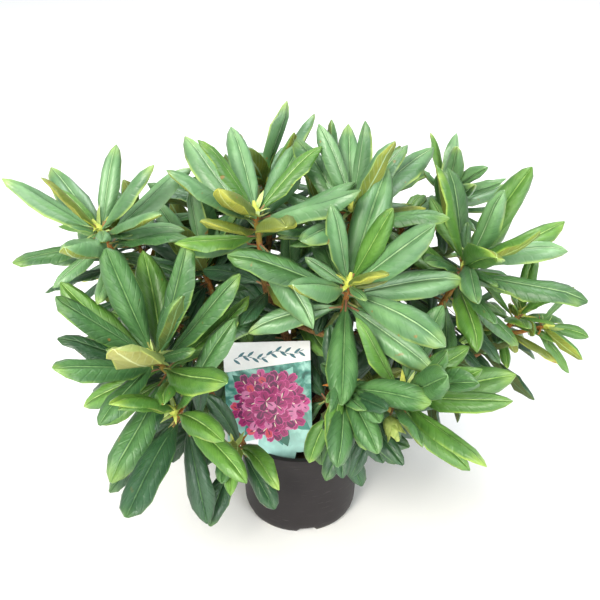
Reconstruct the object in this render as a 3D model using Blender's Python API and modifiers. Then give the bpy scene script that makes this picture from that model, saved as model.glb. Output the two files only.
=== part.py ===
"""A potted evergreen shrub with large leathery leaves, in metres, +Z up.

The origin is the centre of the pot's flat underside. A short trunk stands on the potting soil and
forks into main boughs. Each bough ends where it meets the stem of one mass of foliage. A mass is a
leader shoot with a whorl of leaves round its bud, and side shoots with smaller whorls, and every
whorl grows by one seeded rule. A leaf that would touch a limb, the card or another mass is turned a
little, and left out when no turn clears it.
"""

import math
import random
from collections import namedtuple

import bmesh
import bpy
from mathutils import Matrix, Vector
from mathutils.bvhtree import BVHTree

GAP = 0.0003

# Pot: a two litre nursery container
POT_HEIGHT = 0.128
RIM_RADIUS = 0.085
RIM_DEPTH = 0.012
WALL = 0.0015
WALL_TOP_RADIUS = 0.0785
WALL_FOOT_RADIUS = 0.0745
WALL_FOOT_HEIGHT = 0.020
BASE_RADIUS = 0.0660
BASE_THICKNESS = 0.002
TURN_STEPS = 32
DRAIN_COUNT = 6
DRAIN_RADIUS = 0.0045
DRAIN_CIRCLE = 0.046

# Potting soil, filled to just under the rim
SOIL_TOP = 0.113
SOIL_FLAT_RADIUS = 0.030
SOIL_DIP = 0.003

# Picture card on a spike, leaning back behind the front rim
CARD_WIDTH = 0.105
CARD_HEIGHT = 0.148
CARD_THICKNESS = 0.001
CARD_CORNER = 0.001
CARD_FOOT = (-0.0366, -0.0680, 0.1292)
CARD_LEAN = math.radians(10.3)
CARD_ROLL = math.radians(1.5)
SPIKE_WIDTH = 0.012
SPIKE_TIP = 0.003
SPIKE_LENGTH = 0.032
SPIKE_OFFSET = 0.026

# Space in front of the card that leaves stay out of, so that its face shows
CARD_VIEW_LOW = (-0.036, 0.032)
CARD_VIEW_HIGH = (0.052, 0.146)
CARD_SIGHT = (0.010, -0.190, 0.130)

# Trunk, from a flat cut on the soil to its fork
TRUNK_HEIGHT = 0.060
TRUNK_LEAN = (0.004, 0.003)
TRUNK_RADII = ((0.0, 0.0150), (0.10, 0.0118), (0.28, 0.0100), (0.60, 0.0092), (1.0, 0.0086))

# Boughs and shoots
MAIN_RADII = (0.0058, 0.0046)
SIDE_RADII = (0.0044, 0.0038)
STEM_RADII = (0.0037, 0.0032)
SHOOT_RADII = (0.0030, 0.0025)
BUD_RADIUS = 0.0048
BUD_LENGTH = 0.017
BUD_PROFILE = ((-0.2, 0.6), (0.3, 1.0), (1.0, 0.12))
TRUNK_SIDES = 12
BOUGH_SIDES = 6
TWIG_SIDES = 4
LIMB_STEP = 0.040
STRAIGHT_END = 0.004
BEND_REACH = 0.36
CROWN_FOOT = Vector((0.0, 0.0, 0.120))
RISE = 0.6
KEEP_RISING = 0.5

# Side shoots: where they leave the stem, how far they lean out of it, and their two stretches
SHOOT_START = 0.40
SHOOT_SPACING = 0.15
SHOOT_LEAN = 1.1
SHOOT_OUT = 0.030
SHOOT_UP = 0.026
SHOOT_RISE = Vector((0.0, 0.0, 0.5))

# Leaves
GOLDEN_ANGLE = math.radians(137.508)
WHORL_DEPTH = 0.024
PATH_STEPS = 6
LEAF_ASPECT = 0.26
PETIOLE_HALF_WIDTH = 0.0017
PETIOLE_DEPTH = 0.0014
BLADE_START = 0.30
WIDEST = 0.42
TAPERING = 0.76
LEAF_RISE = 0.0004
LEAF_ROLL_DOWN = 0.17
LONGEST_AT = 0.45
SHORTENING = 0.44
TURN_JITTER = math.radians(12)
OPEN_JITTER = math.radians(9)
LENGTH_JITTER = 0.10
WIDTH_JITTER = 0.12
BEND_JITTER = 0.5

# A leaf that isn't clear is tried again, each time turned further and a little smaller
TRIES = 9
TRY_TURN = math.radians(9)
TRY_SHRINK = 0.02
TRIES_PAST_OWN = 3
CLEARANCE = 0.0008
SPARE_SEED = 1000

# The older whorl lower on a stem, and the small whorl on a side shoot
LOWER_WHORL = 0.62
LOWER_DEPTH = 0.012
LOWER_LEAVES = 4
LOWER_LEAF_SHARE = 0.9
LOWER_OPENNESS = (95, 75)
LOWER_DROOP = (25, 15)
LOWER_TURN = 70
LOWER_SEED = 60
SIDE_LEAVES = 6
SIDE_LEAF_SHARE = 0.80
SIDE_TURN = 7
SIDE_SEED = 40
SHOOT_SEED = 500

# heading, lean and turn are in degrees, and so are openness, how far the outer and the inner leaves
# open from the whorl's axis, and droop, how far they bend to the ground. Leaves are length long, and
# their feet are spread over depth below the bud.
Whorl = namedtuple("Whorl", "heading lean turn length openness count droop seed depth")

# bud is the place of a mass's bud. whorl is its leader's Whorl. stem is the length of its stem.
Mass = namedtuple("Mass", "bud whorl stem shoots")


def mass(bud, turned, length, openness, count, droop, seed, stem, shoots):
    return Mass(Vector(bud), Whorl(*turned, length, openness, count, droop, seed, WHORL_DEPTH), stem, shoots)


# Each main bough: the mass it leads to, the share of the trunk's height where it starts, and how
# strongly it first keeps the trunk's direction.
MAIN_BOUGHS = {
    "bough_left": ("foliage_left_top", 0.48, 0.6),
    "bough_front": ("foliage_centre_top", 0.99, 1.2),
    "bough_right": ("foliage_right", 0.34, 0.6),
    "bough_back_left": ("foliage_back_left", 0.20, 0.4),
    "bough_back_right": ("foliage_back_right", 0.64, 0.5),
}

# Each mass: its bud, its whorl's heading, lean and turn, leaf length, openness, leaf count, droop and
# seed, the length of its stem, and its side shoots.
FOLIAGE = {
    "foliage_left_top": mass(
        (-0.232, -0.014, 0.407), (-115, 5, 135), 0.130, (75, 30), 12, (10, 10), 395, 0.070, 0),
    "foliage_centre_top": mass(
        (-0.049, -0.055, 0.446), (-40, 5, 225), 0.140, (65, 35), 12, (0, 15), 278, 0.075, 0),
    "foliage_right": mass(
        (0.198, -0.015, 0.369), (-25, 25, 35), 0.150, (70, 10), 12, (0, 20), 211, 0.070, 0),
    "foliage_front_top": mass(
        (0.053, -0.101, 0.383), (-70, 25, 140), 0.145, (90, 10), 12, (20, 10), 279, 0.065, 0),
    "foliage_front_left": mass(
        (-0.161, -0.125, 0.304), (-130, 15, 255), 0.160, (65, 20), 12, (0, 0), 259, 0.055, 0),
    "foliage_right_top": mass(
        (0.058, -0.040, 0.445), (-10, 0, 70), 0.130, (60, 15), 12, (10, 40), 397, 0.070, 0),
    "foliage_front_low_left": mass(
        (-0.137, -0.160, 0.256), (-110, 15, 125), 0.145, (112, 10), 12, (45, 35), 196, 0.045, 0),
    "foliage_front_low_right": mass(
        (0.112, -0.157, 0.279), (-35, 50, 95), 0.140, (65, 10), 12, (0, 5), 53, 0.050, 0),
    "foliage_front_low": mass(
        (0.0480, -0.165, 0.296), (-70, 55, 70), 0.115, (65, 10), 12, (20, 40), 126, 0.050, 0),
    "foliage_pot_left": mass(
        (-0.078, -0.115, 0.175), (-95, 55, 5), 0.105, (65, 10), 8, (45, 35), 198, 0.030, 0),
    "foliage_far_right": mass(
        (0.281, 0.038, 0.267), (40, 20, 110), 0.105, (80, 30), 11, (45, 25), 25, 0.055, 1),
    "foliage_middle": mass(
        (-0.010, 0.030, 0.300), (-95, 30, 40), 0.120, (75, 20), 10, (15, 20), 41, 0.050, 0),
    "foliage_mid_left": mass(
        (-0.124, 0.062, 0.323), (205, 20, -15), 0.135, (65, 15), 11, (5, 5), 158, 0.060, 0),
    "foliage_mid_top": mass(
        (-0.046, 0.119, 0.417), (145, 35, 350), 0.125, (70, 45), 12, (5, 35), 111, 0.065, 0),
    "foliage_mid_right": mass(
        (0.135, 0.120, 0.356), (100, 20, 110), 0.105, (75, 40), 11, (10, 40), 113, 0.060, 0),
    "foliage_far_right_top": mass(
        (0.194, 0.144, 0.389), (15, 25, 280), 0.105, (65, 35), 12, (0, 5), 213, 0.060, 0),
    "foliage_back_left": mass(
        (-0.090, 0.165, 0.365), (130, 20, 40), 0.130, (80, 20), 11, (10, 25), 21, 0.065, 1),
    "foliage_back_right": mass(
        (0.060, 0.185, 0.360), (70, 20, 200), 0.135, (80, 20), 11, (10, 25), 22, 0.065, 1),
    "foliage_left_back": mass(
        (-0.215, 0.110, 0.335), (155, 25, 100), 0.125, (85, 20), 11, (15, 25), 23, 0.060, 1),
    "foliage_back_low": mass(
        (-0.015, 0.240, 0.270), (90, 35, 20), 0.130, (95, 25), 11, (25, 25), 54, 0.050, 0),
    "foliage_back_low_left": mass(
        (-0.150, 0.205, 0.250), (125, 35, 300), 0.130, (100, 25), 11, (30, 25), 26, 0.050, 1),
    "foliage_back_low_right": mass(
        (0.150, 0.220, 0.255), (55, 35, 140), 0.130, (100, 25), 11, (30, 25), 27, 0.050, 1),
    "foliage_low_left": mass(
        (-0.205, 0.070, 0.235), (165, 35, 60), 0.125, (100, 25), 10, (30, 20), 28, 0.045, 0),
    "foliage_low_right": mass(
        (0.215, 0.095, 0.235), (25, 35, 250), 0.125, (100, 25), 10, (30, 20), 31, 0.045, 0),
    "foliage_back_top": mass(
        (0.030, 0.085, 0.385), (60, 10, 85), 0.115, (65, 20), 10, (5, 20), 30, 0.060, 0),
}

# Masses with a second, older whorl lower on their stem
LOWER_WHORLS = (
    "foliage_left_top", "foliage_centre_top", "foliage_right", "foliage_front_top", "foliage_front_left",
    "foliage_right_top", "foliage_mid_left", "foliage_back_low", "foliage_low_left",
    "foliage_low_right",
)

# Each side bough: the mass it leads to, its parent bough, and the share of that bough where it starts
SIDE_BOUGHS = {
    "foliage_front_left": ("bough_left", 0.62),
    "foliage_front_low_left": ("bough_left", 0.52),
    "foliage_low_left": ("bough_left", 0.46),
    "foliage_mid_left": ("bough_back_left", 0.30),
    "foliage_front_top": ("bough_front", 0.62),
    "foliage_middle": ("bough_front", 0.30),
    "foliage_front_low": ("bough_right", 0.16),
    "foliage_pot_left": ("side_bough_front_low_left", 0.40),
    "foliage_right_top": ("bough_front", 0.78),
    "foliage_front_low_right": ("bough_right", 0.32),
    "foliage_far_right": ("bough_right", 0.60),
    "foliage_low_right": ("bough_right", 0.42),
    "foliage_mid_top": ("bough_back_left", 0.74),
    "foliage_left_back": ("bough_back_left", 0.50),
    "foliage_back_low_left": ("bough_back_left", 0.18),
    "foliage_back_low": ("bough_back_right", 0.36),
    "foliage_back_low_right": ("bough_back_right", 0.22),
    "foliage_mid_right": ("bough_back_right", 0.50),
    "foliage_far_right_top": ("bough_back_right", 0.66),
    "foliage_back_top": ("bough_back_right", 0.82),
}


def clear_scene():
    for thing in list(bpy.data.objects):
        bpy.data.objects.remove(thing, do_unlink=True)


def new_collection(name):
    collection = bpy.data.collections.new(name)
    bpy.context.scene.collection.children.link(collection)
    return collection


def new_material(name, colour, roughness):
    material = bpy.data.materials.new(name)
    material.use_nodes = True
    shader = material.node_tree.nodes["Principled BSDF"]
    shader.inputs["Base Color"].default_value = (*colour, 1.0)
    shader.inputs["Roughness"].default_value = roughness
    shader.inputs["Metallic"].default_value = 0.0
    material.diffuse_color = (*colour, 1.0)
    return material


def mesh_object(name, verts, faces, collection, material=None):
    mesh = bpy.data.meshes.new(name)
    mesh.from_pydata([tuple(v) for v in verts], [], faces)
    mesh.update()
    thing = bpy.data.objects.new(name, mesh)
    collection.objects.link(thing)
    if material:
        mesh.materials.append(material)
    return thing


def move_to(thing, collection):
    for old in list(thing.users_collection):
        old.objects.unlink(thing)
    collection.objects.link(thing)


def make_cutter(thing):
    thing.hide_render = True
    thing.display_type = "WIRE"


def cut(thing, cutter):
    modifier = thing.modifiers.new("cut_" + cutter.name, "BOOLEAN")
    modifier.operation = "DIFFERENCE"
    modifier.object = cutter
    modifier.solver = "EXACT"


def evaluated_mesh(thing):
    depsgraph = bpy.context.evaluated_depsgraph_get()
    return bpy.data.meshes.new_from_object(thing.evaluated_get(depsgraph), depsgraph=depsgraph)


# Turned pieces

def turned(name, profile, collection, material):
    """Turns a profile of (radius, height) points, running down the outer side, round the Z axis."""
    verts = [(radius, 0.0, height) for radius, height in profile]
    edges = [(i, i + 1) for i in range(len(verts) - 1)]
    mesh = bpy.data.meshes.new(name)
    mesh.from_pydata(verts, edges, [])
    thing = bpy.data.objects.new(name, mesh)
    collection.objects.link(thing)
    mesh.materials.append(material)
    screw = thing.modifiers.new("turn", "SCREW")
    screw.steps = TURN_STEPS
    screw.render_steps = TURN_STEPS
    screw.use_merge_vertices = True
    screw.merge_threshold = 0.00001
    screw.use_smooth_shade = True
    return thing


def wall_radius(height):
    """Outer radius of the pot's tapering wall at a height above its rounded foot."""
    share = (height - WALL_FOOT_HEIGHT) / (POT_HEIGHT - RIM_DEPTH - WALL_FOOT_HEIGHT)
    return WALL_FOOT_RADIUS + (WALL_TOP_RADIUS - WALL_FOOT_RADIUS) * share


def foot_curve(inset, lift):
    """Points of the rounded corner between the flat base and the wall, set in by a wall's thickness."""
    points = []
    for step in range(4):
        angle = math.radians(90) * step / 3
        radius = BASE_RADIUS + (WALL_FOOT_RADIUS - BASE_RADIUS) * math.sin(angle) - inset
        height = lift + (WALL_FOOT_HEIGHT - lift) * (1 - math.cos(angle))
        points.append((radius, height))
    return points


def build_pot(collection, cutters, material):
    lip_foot = POT_HEIGHT - RIM_DEPTH
    soften = 0.0012
    undercut = 0.0006
    inside = foot_curve(WALL, BASE_THICKNESS)
    outside = foot_curve(0.0, 0.0)
    rim = [
        (wall_radius(lip_foot) - WALL, lip_foot),
        (wall_radius(POT_HEIGHT) - WALL, POT_HEIGHT),
        (RIM_RADIUS - soften, POT_HEIGHT),
        (RIM_RADIUS, POT_HEIGHT - soften),
        (RIM_RADIUS - undercut, lip_foot + soften),
        (RIM_RADIUS - undercut - soften, lip_foot),
        (wall_radius(lip_foot) + undercut, lip_foot - undercut),
        (wall_radius(lip_foot), lip_foot - 2 * soften),
    ]
    profile = [(0.0, BASE_THICKNESS)] + inside + rim + outside[::-1] + [(0.0, 0.0)]
    pot = turned("pot", profile, collection, material)
    for number in range(DRAIN_COUNT):
        angle = 2 * math.pi * number / DRAIN_COUNT
        place = (DRAIN_CIRCLE * math.cos(angle), DRAIN_CIRCLE * math.sin(angle), 0.0)
        bpy.ops.mesh.primitive_cylinder_add(vertices=8, radius=DRAIN_RADIUS, depth=0.01, location=place)
        drill = bpy.context.object
        drill.name = f"drain_cutter_{number + 1}"
        move_to(drill, cutters)
        make_cutter(drill)
        cut(pot, drill)
    return pot


def build_soil(collection, material):
    inner = WALL + GAP
    bottom = BASE_THICKNESS + GAP
    edge = wall_radius(SOIL_TOP) - inner
    profile = [
        (0.0, SOIL_TOP),
        (SOIL_FLAT_RADIUS, SOIL_TOP),
        (SOIL_FLAT_RADIUS + 0.018, SOIL_TOP - SOIL_DIP),
        (edge - 0.010, SOIL_TOP - SOIL_DIP),
        (edge, SOIL_TOP - SOIL_DIP * 0.4),
    ]
    profile += foot_curve(inner, bottom)[::-1] + [(0.0, bottom)]
    return turned("potting_soil", profile, collection, material)


# Picture card

def card_matrix():
    place = Matrix.Translation(CARD_FOOT)
    lean = Matrix.Rotation(math.radians(90) - CARD_LEAN, 4, "X")
    return place @ lean @ Matrix.Rotation(CARD_ROLL, 4, "Z")


def card_outline(margin=0.0):
    """Rounded card with a tapering spike, in the card's own plane, its foot at the origin."""
    half = CARD_WIDTH / 2 + margin
    points = []
    top = CARD_HEIGHT + margin
    for x, y, first in ((half, top, 0), (-half, top, 90), (-half, -margin, 180)):
        points += corner_arc(x, y, first)
    spike = SPIKE_WIDTH / 2 + margin
    tip = SPIKE_TIP / 2 + margin
    foot = -SPIKE_LENGTH - margin
    outline = [(-spike, -margin), (-tip, foot), (tip, foot), (spike, -margin)]
    points += [(SPIKE_OFFSET + x, y) for x, y in outline]
    points += corner_arc(half, -margin, 270)
    return points


def corner_arc(x, y, first_angle):
    """Points of a quarter circle that rounds the corner at x, y."""
    centre_x = x - math.copysign(CARD_CORNER, x)
    centre_y = y - CARD_CORNER if first_angle < 180 else y + CARD_CORNER
    angles = [math.radians(first_angle + step * 30) for step in range(4)]
    return [(centre_x + CARD_CORNER * math.cos(a), centre_y + CARD_CORNER * math.sin(a)) for a in angles]


def flat_outline(name, points, thickness, collection):
    curve = bpy.data.curves.new(name, "CURVE")
    curve.dimensions = "2D"
    curve.fill_mode = "BOTH"
    curve.extrude = thickness / 2
    spline = curve.splines.new("POLY")
    spline.points.add(len(points) - 1)
    for point, (x, y) in zip(spline.points, points):
        point.co = (x, y, 0.0, 1.0)
    spline.use_cyclic_u = True
    thing = bpy.data.objects.new(name, curve)
    collection.objects.link(thing)
    thing.matrix_world = card_matrix()
    return thing


def welded(curve_object, distance=0.000002):
    """A curve object made a mesh with its caps welded on, in the curve's place."""
    bpy.context.view_layer.update()
    mesh = evaluated_mesh(curve_object)
    shape = bmesh.new()
    shape.from_mesh(mesh)
    bmesh.ops.remove_doubles(shape, verts=shape.verts, dist=distance)
    bmesh.ops.recalc_face_normals(shape, faces=shape.faces)
    shape.to_mesh(mesh)
    shape.free()
    name = curve_object.name
    collection = curve_object.users_collection[0]
    place = curve_object.matrix_world.copy()
    bpy.data.objects.remove(curve_object, do_unlink=True)
    thing = bpy.data.objects.new(name, mesh)
    collection.objects.link(thing)
    thing.matrix_world = place
    return thing


def build_card(collection, cutters, soil, material):
    card = welded(flat_outline("label_card", card_outline(), CARD_THICKNESS, collection))
    card.data.materials.append(material)
    slot = welded(flat_outline("card_slot_cutter", card_outline(GAP), CARD_THICKNESS + 2 * GAP, cutters))
    make_cutter(slot)
    cut(soil, slot)
    return card


def card_view_shape():
    """A slanting box from the card's face towards whoever looks at it from above."""
    near = card_matrix()
    far = Matrix.Translation(CARD_SIGHT) @ near
    verts = []
    for x in (CARD_VIEW_LOW[0], CARD_VIEW_HIGH[0]):
        for y in (CARD_VIEW_LOW[1], CARD_VIEW_HIGH[1]):
            verts += [near @ Vector((x, y, 0.0)), far @ Vector((x, y, 0.0))]
    faces = [(0, 1, 3, 2), (4, 6, 7, 5), (0, 4, 5, 1), (2, 3, 7, 6), (0, 2, 6, 4), (1, 5, 7, 3)]
    return verts, faces


# Limbs

class Limb:
    """A limb's path, and the radius and the share of its length at each of its points.

    Two radii are those of its ends, with an even taper between them.
    """

    def __init__(self, path, radii):
        self.path = path
        lengths = [0.0]
        for a, b in zip(path, path[1:]):
            lengths.append(lengths[-1] + (b - a).length)
        self.length = lengths[-1]
        self.shares = [length / self.length for length in lengths]
        if len(radii) == 2:
            radii = [radii[0] + (radii[1] - radii[0]) * share for share in self.shares]
        self.radii = radii

    def at(self, share):
        """Place and direction at a share of the limb's length."""
        for i in range(len(self.path) - 1):
            if share <= self.shares[i + 1] or i == len(self.path) - 2:
                span = self.shares[i + 1] - self.shares[i]
                place = self.path[i].lerp(self.path[i + 1], (share - self.shares[i]) / span)
                return place, (self.path[i + 1] - self.path[i]).normalized()
        return None


def bent_path(start, start_direction, end, end_direction):
    """Points of a smooth bend between two places, leaving and arriving in the given directions."""
    reach = (end - start).length
    first = start + start_direction * reach * BEND_REACH
    second = end - end_direction * reach * BEND_REACH
    count = max(3, round(reach / LIMB_STEP))
    points = []
    for i in range(count + 1):
        t = i / count
        near = start * (1 - t) ** 3 + first * 3 * t * (1 - t) ** 2
        far = second * 3 * t * t * (1 - t) + end * t ** 3
        points.append(near + far)
    points.insert(-1, end - end_direction * STRAIGHT_END)
    return points


def tube(name, path, radii, collection, sides=BOUGH_SIDES):
    curve = bpy.data.curves.new(name, "CURVE")
    curve.dimensions = "3D"
    curve.bevel_depth = 1.0
    curve.bevel_resolution = (sides - 4) // 2
    curve.use_fill_caps = True
    spline = curve.splines.new("POLY")
    spline.points.add(len(path) - 1)
    for point, place, radius in zip(spline.points, path, radii):
        point.co = (*place, 1.0)
        point.radius = radius
    thing = bpy.data.objects.new(name, curve)
    collection.objects.link(thing)
    thing = welded(thing)
    thing.data.shade_smooth()
    thing.data.set_sharp_from_angle(angle=math.radians(360 / sides + 15))
    return thing


def build_trunk(collection, material):
    foot = Vector((0.0, 0.0, SOIL_TOP + GAP))
    lean = Vector((*TRUNK_LEAN, 0.0))
    path = []
    for share, _ in TRUNK_RADII:
        path.append(foot + Vector((0.0, 0.0, TRUNK_HEIGHT * share)) + lean * share * share)
    limb = Limb(path, [radius for _, radius in TRUNK_RADII])
    trunk = tube("main_stem", limb.path, limb.radii, collection, TRUNK_SIDES)
    trunk.data.materials.append(material)
    return trunk, limb


def clearance_copy(name, limb, cutters, sides=BOUGH_SIDES):
    """A fatter copy of a limb, which cuts the foot of what grows from it."""
    radii = [radius + GAP for radius in limb.radii]
    path = list(limb.path)
    path[-1] = path[-1] + (path[-1] - path[-2]).normalized() * GAP
    copy = tube(name + "_clearance", path, radii, cutters, sides)
    make_cutter(copy)
    return copy


def stem_direction(bud):
    outward = (bud - CROWN_FOOT).normalized()
    return (outward + Vector((0.0, 0.0, RISE))).normalized()


def stem_foot(row):
    return row.bud - stem_direction(row.bud) * row.stem


def grow_bough(name, row, parent, share, rising, radii, cutter, collection, material):
    """One tapering bough from a place on its parent to just short of the stem of its mass."""
    start, along = parent.at(share)
    end = stem_foot(row)
    arrive = stem_direction(row.bud)
    leave = (along * rising + (end - start).normalized()).normalized()
    path = bent_path(start, leave, end - arrive * GAP, arrive)
    limb = Limb(path, radii)
    bough = tube(name, limb.path, limb.radii, collection)
    bough.data.materials.append(material)
    cut(bough, cutter)
    return limb


# Leaves

def turned_towards_ground(direction, angle):
    axis = direction.cross(Vector((0.0, 0.0, -1.0)))
    size = axis.length
    if size < 0.0001:
        return direction
    return Matrix.Rotation(angle * min(1.0, size * 1.2), 3, axis / size) @ direction


def leaf_path(foot, direction, length, bend):
    points = [foot.copy()]
    for _ in range(PATH_STEPS):
        direction = turned_towards_ground(direction, bend / PATH_STEPS)
        foot = foot + direction * length / PATH_STEPS
        points.append(foot.copy())
    return points


def path_at(path, share):
    place = share * PATH_STEPS
    i = min(int(place), PATH_STEPS - 1)
    return path[i].lerp(path[i + 1], place - i), (path[i + 1] - path[i]).normalized()


def blade_side(tangent, axis, last_side):
    """The direction across a blade: it starts square to the whorl's axis and is then carried along."""
    if last_side:
        return (last_side - tangent * last_side.dot(tangent)).normalized()
    side = tangent.cross(axis)
    return side.normalized() if side.length > 0.02 else tangent.orthogonal().normalized()


def leaf_shape(path, axis, width, spare=0.0, blade_only=False):
    """Vertices and faces of one closed three-sided leaf: a petiole and a blade rolled down at its edges."""
    half = width / 2
    roll_down = half * LEAF_ROLL_DOWN
    rings = [
        (0.0, PETIOLE_HALF_WIDTH, PETIOLE_DEPTH, PETIOLE_DEPTH),
        (WIDEST, half, LEAF_RISE, roll_down),
        (TAPERING, half * 0.84, LEAF_RISE, roll_down),
    ]
    if blade_only:
        rings[0] = (BLADE_START, half * 0.7, LEAF_RISE, LEAF_RISE)
    verts = []
    side = None
    for share, reach, rise, roll in rings:
        place, tangent = path_at(path, share)
        side = blade_side(tangent, axis, side)
        normal = side.cross(tangent)
        verts.append(place - side * (reach + spare) - normal * (roll + spare))
        verts.append(place + normal * (rise + spare))
        verts.append(place + side * (reach + spare) - normal * (roll + spare))
    verts.append(path[-1] + (path[-1] - path[-2]).normalized() * spare)
    tip = len(verts) - 1
    faces = [(2, 1, 0)]
    for ring in range(len(rings) - 1):
        base = ring * 3
        for k in range(3):
            n = (k + 1) % 3
            faces.append((base + k, base + n, base + 3 + n))
            faces.append((base + k, base + 3 + n, base + 3 + k))
    last = (len(rings) - 1) * 3
    faces += [(last + k, last + (k + 1) % 3, tip) for k in range(3)]
    return verts, faces


class Obstacles:
    """What a new leaf must keep clear of, as search trees with bounding balls."""

    def __init__(self):
        self.entries = []

    def add(self, owner, verts, faces):
        centre = sum(verts, Vector()) / len(verts)
        radius = max((v - centre).length for v in verts)
        self.entries.append((owner, centre, radius, BVHTree.FromPolygons(verts, faces)))

    def add_object(self, owner, thing):
        bpy.context.view_layer.update()
        mesh = evaluated_mesh(thing)
        verts = [thing.matrix_world @ v.co for v in mesh.vertices]
        self.add(owner, verts, [tuple(p.vertices) for p in mesh.polygons])

    def hit(self, owner, verts, faces, own=False):
        centre = sum(verts, Vector()) / len(verts)
        radius = max((v - centre).length for v in verts)
        tree = None
        for other, place, reach, other_tree in self.entries:
            if (other == owner) != own or (place - centre).length > reach + radius:
                continue
            if tree is None:
                tree = BVHTree.FromPolygons(verts, faces)
            if tree.overlap(other_tree):
                return True
        return False


def whorl_frame(whorl):
    heading = math.radians(whorl.heading)
    lean = math.radians(whorl.lean)
    axis = Vector((math.sin(lean) * math.cos(heading), math.sin(lean) * math.sin(heading), math.cos(lean)))
    across = axis.cross(Vector((0.0, 0.0, 1.0)))
    across = across.normalized() if lean > 0.001 else Vector((1.0, 0.0, 0.0))
    return axis, across, axis.cross(across)


def between(pair, share):
    return math.radians(pair[0] + (pair[1] - pair[0]) * share)


def grow_whorl(owner, stem, whorl, obstacles, blades):
    """Leaves round a shoot's end, the outer ones first, each turned until it is clear of the rest."""
    axis, across, up = whorl_frame(whorl)
    draws = random.Random(whorl.seed)
    spare_draws = random.Random(whorl.seed + SPARE_SEED)
    leaves = []
    for k in range(whorl.count):
        share = k / (whorl.count - 1)
        j = [draws.uniform(-1, 1) for _ in range(4)]
        width_draw = spare_draws.uniform(-1, 1)
        azimuth = math.radians(whorl.turn) + GOLDEN_ANGLE * k + TURN_JITTER * j[0]
        opened = between(whorl.openness, share) + OPEN_JITTER * j[1]
        reach = whorl.length * (1 - SHORTENING * abs(share - LONGEST_AT) + LENGTH_JITTER * j[2])
        bend = between(whorl.droop, share) * (1 + BEND_JITTER * j[3])
        foot, _ = stem.at(1 - whorl.depth * (1 - share) / stem.length)
        for attempt in range(TRIES):
            size = 1 - TRY_SHRINK * attempt
            a = azimuth + spare_draws.uniform(-1, 1) * TRY_TURN * attempt
            o = opened + spare_draws.uniform(-1, 1) * TRY_TURN * attempt
            direction = math.cos(o) * axis + math.sin(o) * (math.cos(a) * across + math.sin(a) * up)
            path = leaf_path(foot, direction, reach * size, bend)
            width = reach * size * LEAF_ASPECT * (1 + WIDTH_JITTER * width_draw)
            fat, faces = leaf_shape(path, axis, width, CLEARANCE)
            blade, blade_faces = leaf_shape(path, axis, width, 0.0, True)
            if obstacles.hit(owner, fat, faces):
                continue
            crowded = blades.hit(owner, blade, blade_faces, own=True)
            if crowded and attempt < TRIES - TRIES_PAST_OWN:
                continue
            verts, faces = leaf_shape(path, axis, width)
            blades.add(owner, blade, blade_faces)
            leaves.append((verts, faces))
            break
    for verts, faces in leaves:
        obstacles.add(owner, verts, faces)
    return leaves


# Masses of foliage

def bud_shape(stem):
    """Path and radii of the pointed bud that ends a shoot."""
    place, along = stem.at(1.0)
    path = [place + along * BUD_LENGTH * share for share, _ in BUD_PROFILE]
    return path, [BUD_RADIUS * size for _, size in BUD_PROFILE]


def side_shoots(row, stem):
    """Shoots that leave a mass's stem on the golden angle, half way up."""
    draws = random.Random(row.whorl.seed + SHOOT_SEED)
    shoots = []
    turn = draws.uniform(0, 2 * math.pi)
    for number in range(row.shoots):
        start, along = stem.at(SHOOT_START + SHOOT_SPACING * number)
        across = along.orthogonal().normalized()
        angle = turn + GOLDEN_ANGLE * number
        out = Matrix.Rotation(angle, 3, along) @ across
        leave = (along + out * SHOOT_LEAN).normalized()
        end = start + leave * SHOOT_OUT + (leave + SHOOT_RISE).normalized() * SHOOT_UP
        path = bent_path(start, leave, end, (end - start).normalized())
        shoots.append(Limb(path, SHOOT_RADII))
    return shoots


def mass_limbs(row):
    """The stem of a mass, from the tip of its bough to its bud, and the side shoots on it."""
    along = stem_direction(row.bud)
    stem = Limb(bent_path(stem_foot(row), along, row.bud, along), STEM_RADII)
    return stem, side_shoots(row, stem)


def lower_whorl(whorl):
    """The older whorl under a leader's whorl: fewer leaves, wide open and hanging."""
    return whorl._replace(turn=whorl.turn + LOWER_TURN, length=whorl.length * LOWER_LEAF_SHARE,
                          openness=LOWER_OPENNESS, count=LOWER_LEAVES, droop=LOWER_DROOP,
                          seed=whorl.seed + LOWER_SEED, depth=LOWER_DEPTH)


def side_whorl(whorl, shoot, number):
    """The small whorl on a side shoot, which opens round the shoot's own direction."""
    _, along = shoot.at(1.0)
    heading = math.degrees(math.atan2(along.y, along.x))
    lean = math.degrees(math.acos(along.z))
    return whorl._replace(heading=heading, lean=lean, turn=whorl.seed * SIDE_TURN,
                          length=whorl.length * SIDE_LEAF_SHARE, count=SIDE_LEAVES,
                          seed=whorl.seed + SIDE_SEED + number)


def build_mass(name, row, stem, shoots, obstacles, blades, collection, material):
    """One mass: stem, side shoots, buds and leaves, joined into one solid."""
    leaves = grow_whorl(name, stem, row.whorl, obstacles, blades)
    if name in LOWER_WHORLS:
        below = Limb([stem.path[0], stem.at(LOWER_WHORL)[0]], STEM_RADII)
        leaves += grow_whorl(name, below, lower_whorl(row.whorl), obstacles, blades)
    for number, shoot in enumerate(shoots):
        leaves += grow_whorl(name, shoot, side_whorl(row.whorl, shoot, number), obstacles, blades)
    joined = new_collection(name + "_pieces")
    solid = tube(name, stem.path, stem.radii, collection, TWIG_SIDES)
    for number, limb in enumerate([stem] + shoots):
        path, radii = bud_shape(limb)
        tube(f"{name}_bud_{number}", path, radii, joined, TWIG_SIDES)
    for number, shoot in enumerate(shoots):
        tube(f"{name}_shoot_{number}", shoot.path, shoot.radii, joined, TWIG_SIDES)
    for number, (verts, faces) in enumerate(leaves):
        mesh_object(f"{name}_leaf_{number}", verts, faces, joined)
    union(solid, joined)
    solid.data.materials.append(material)
    print(name, len(leaves), "leaves", len(solid.data.polygons), "faces")


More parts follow.
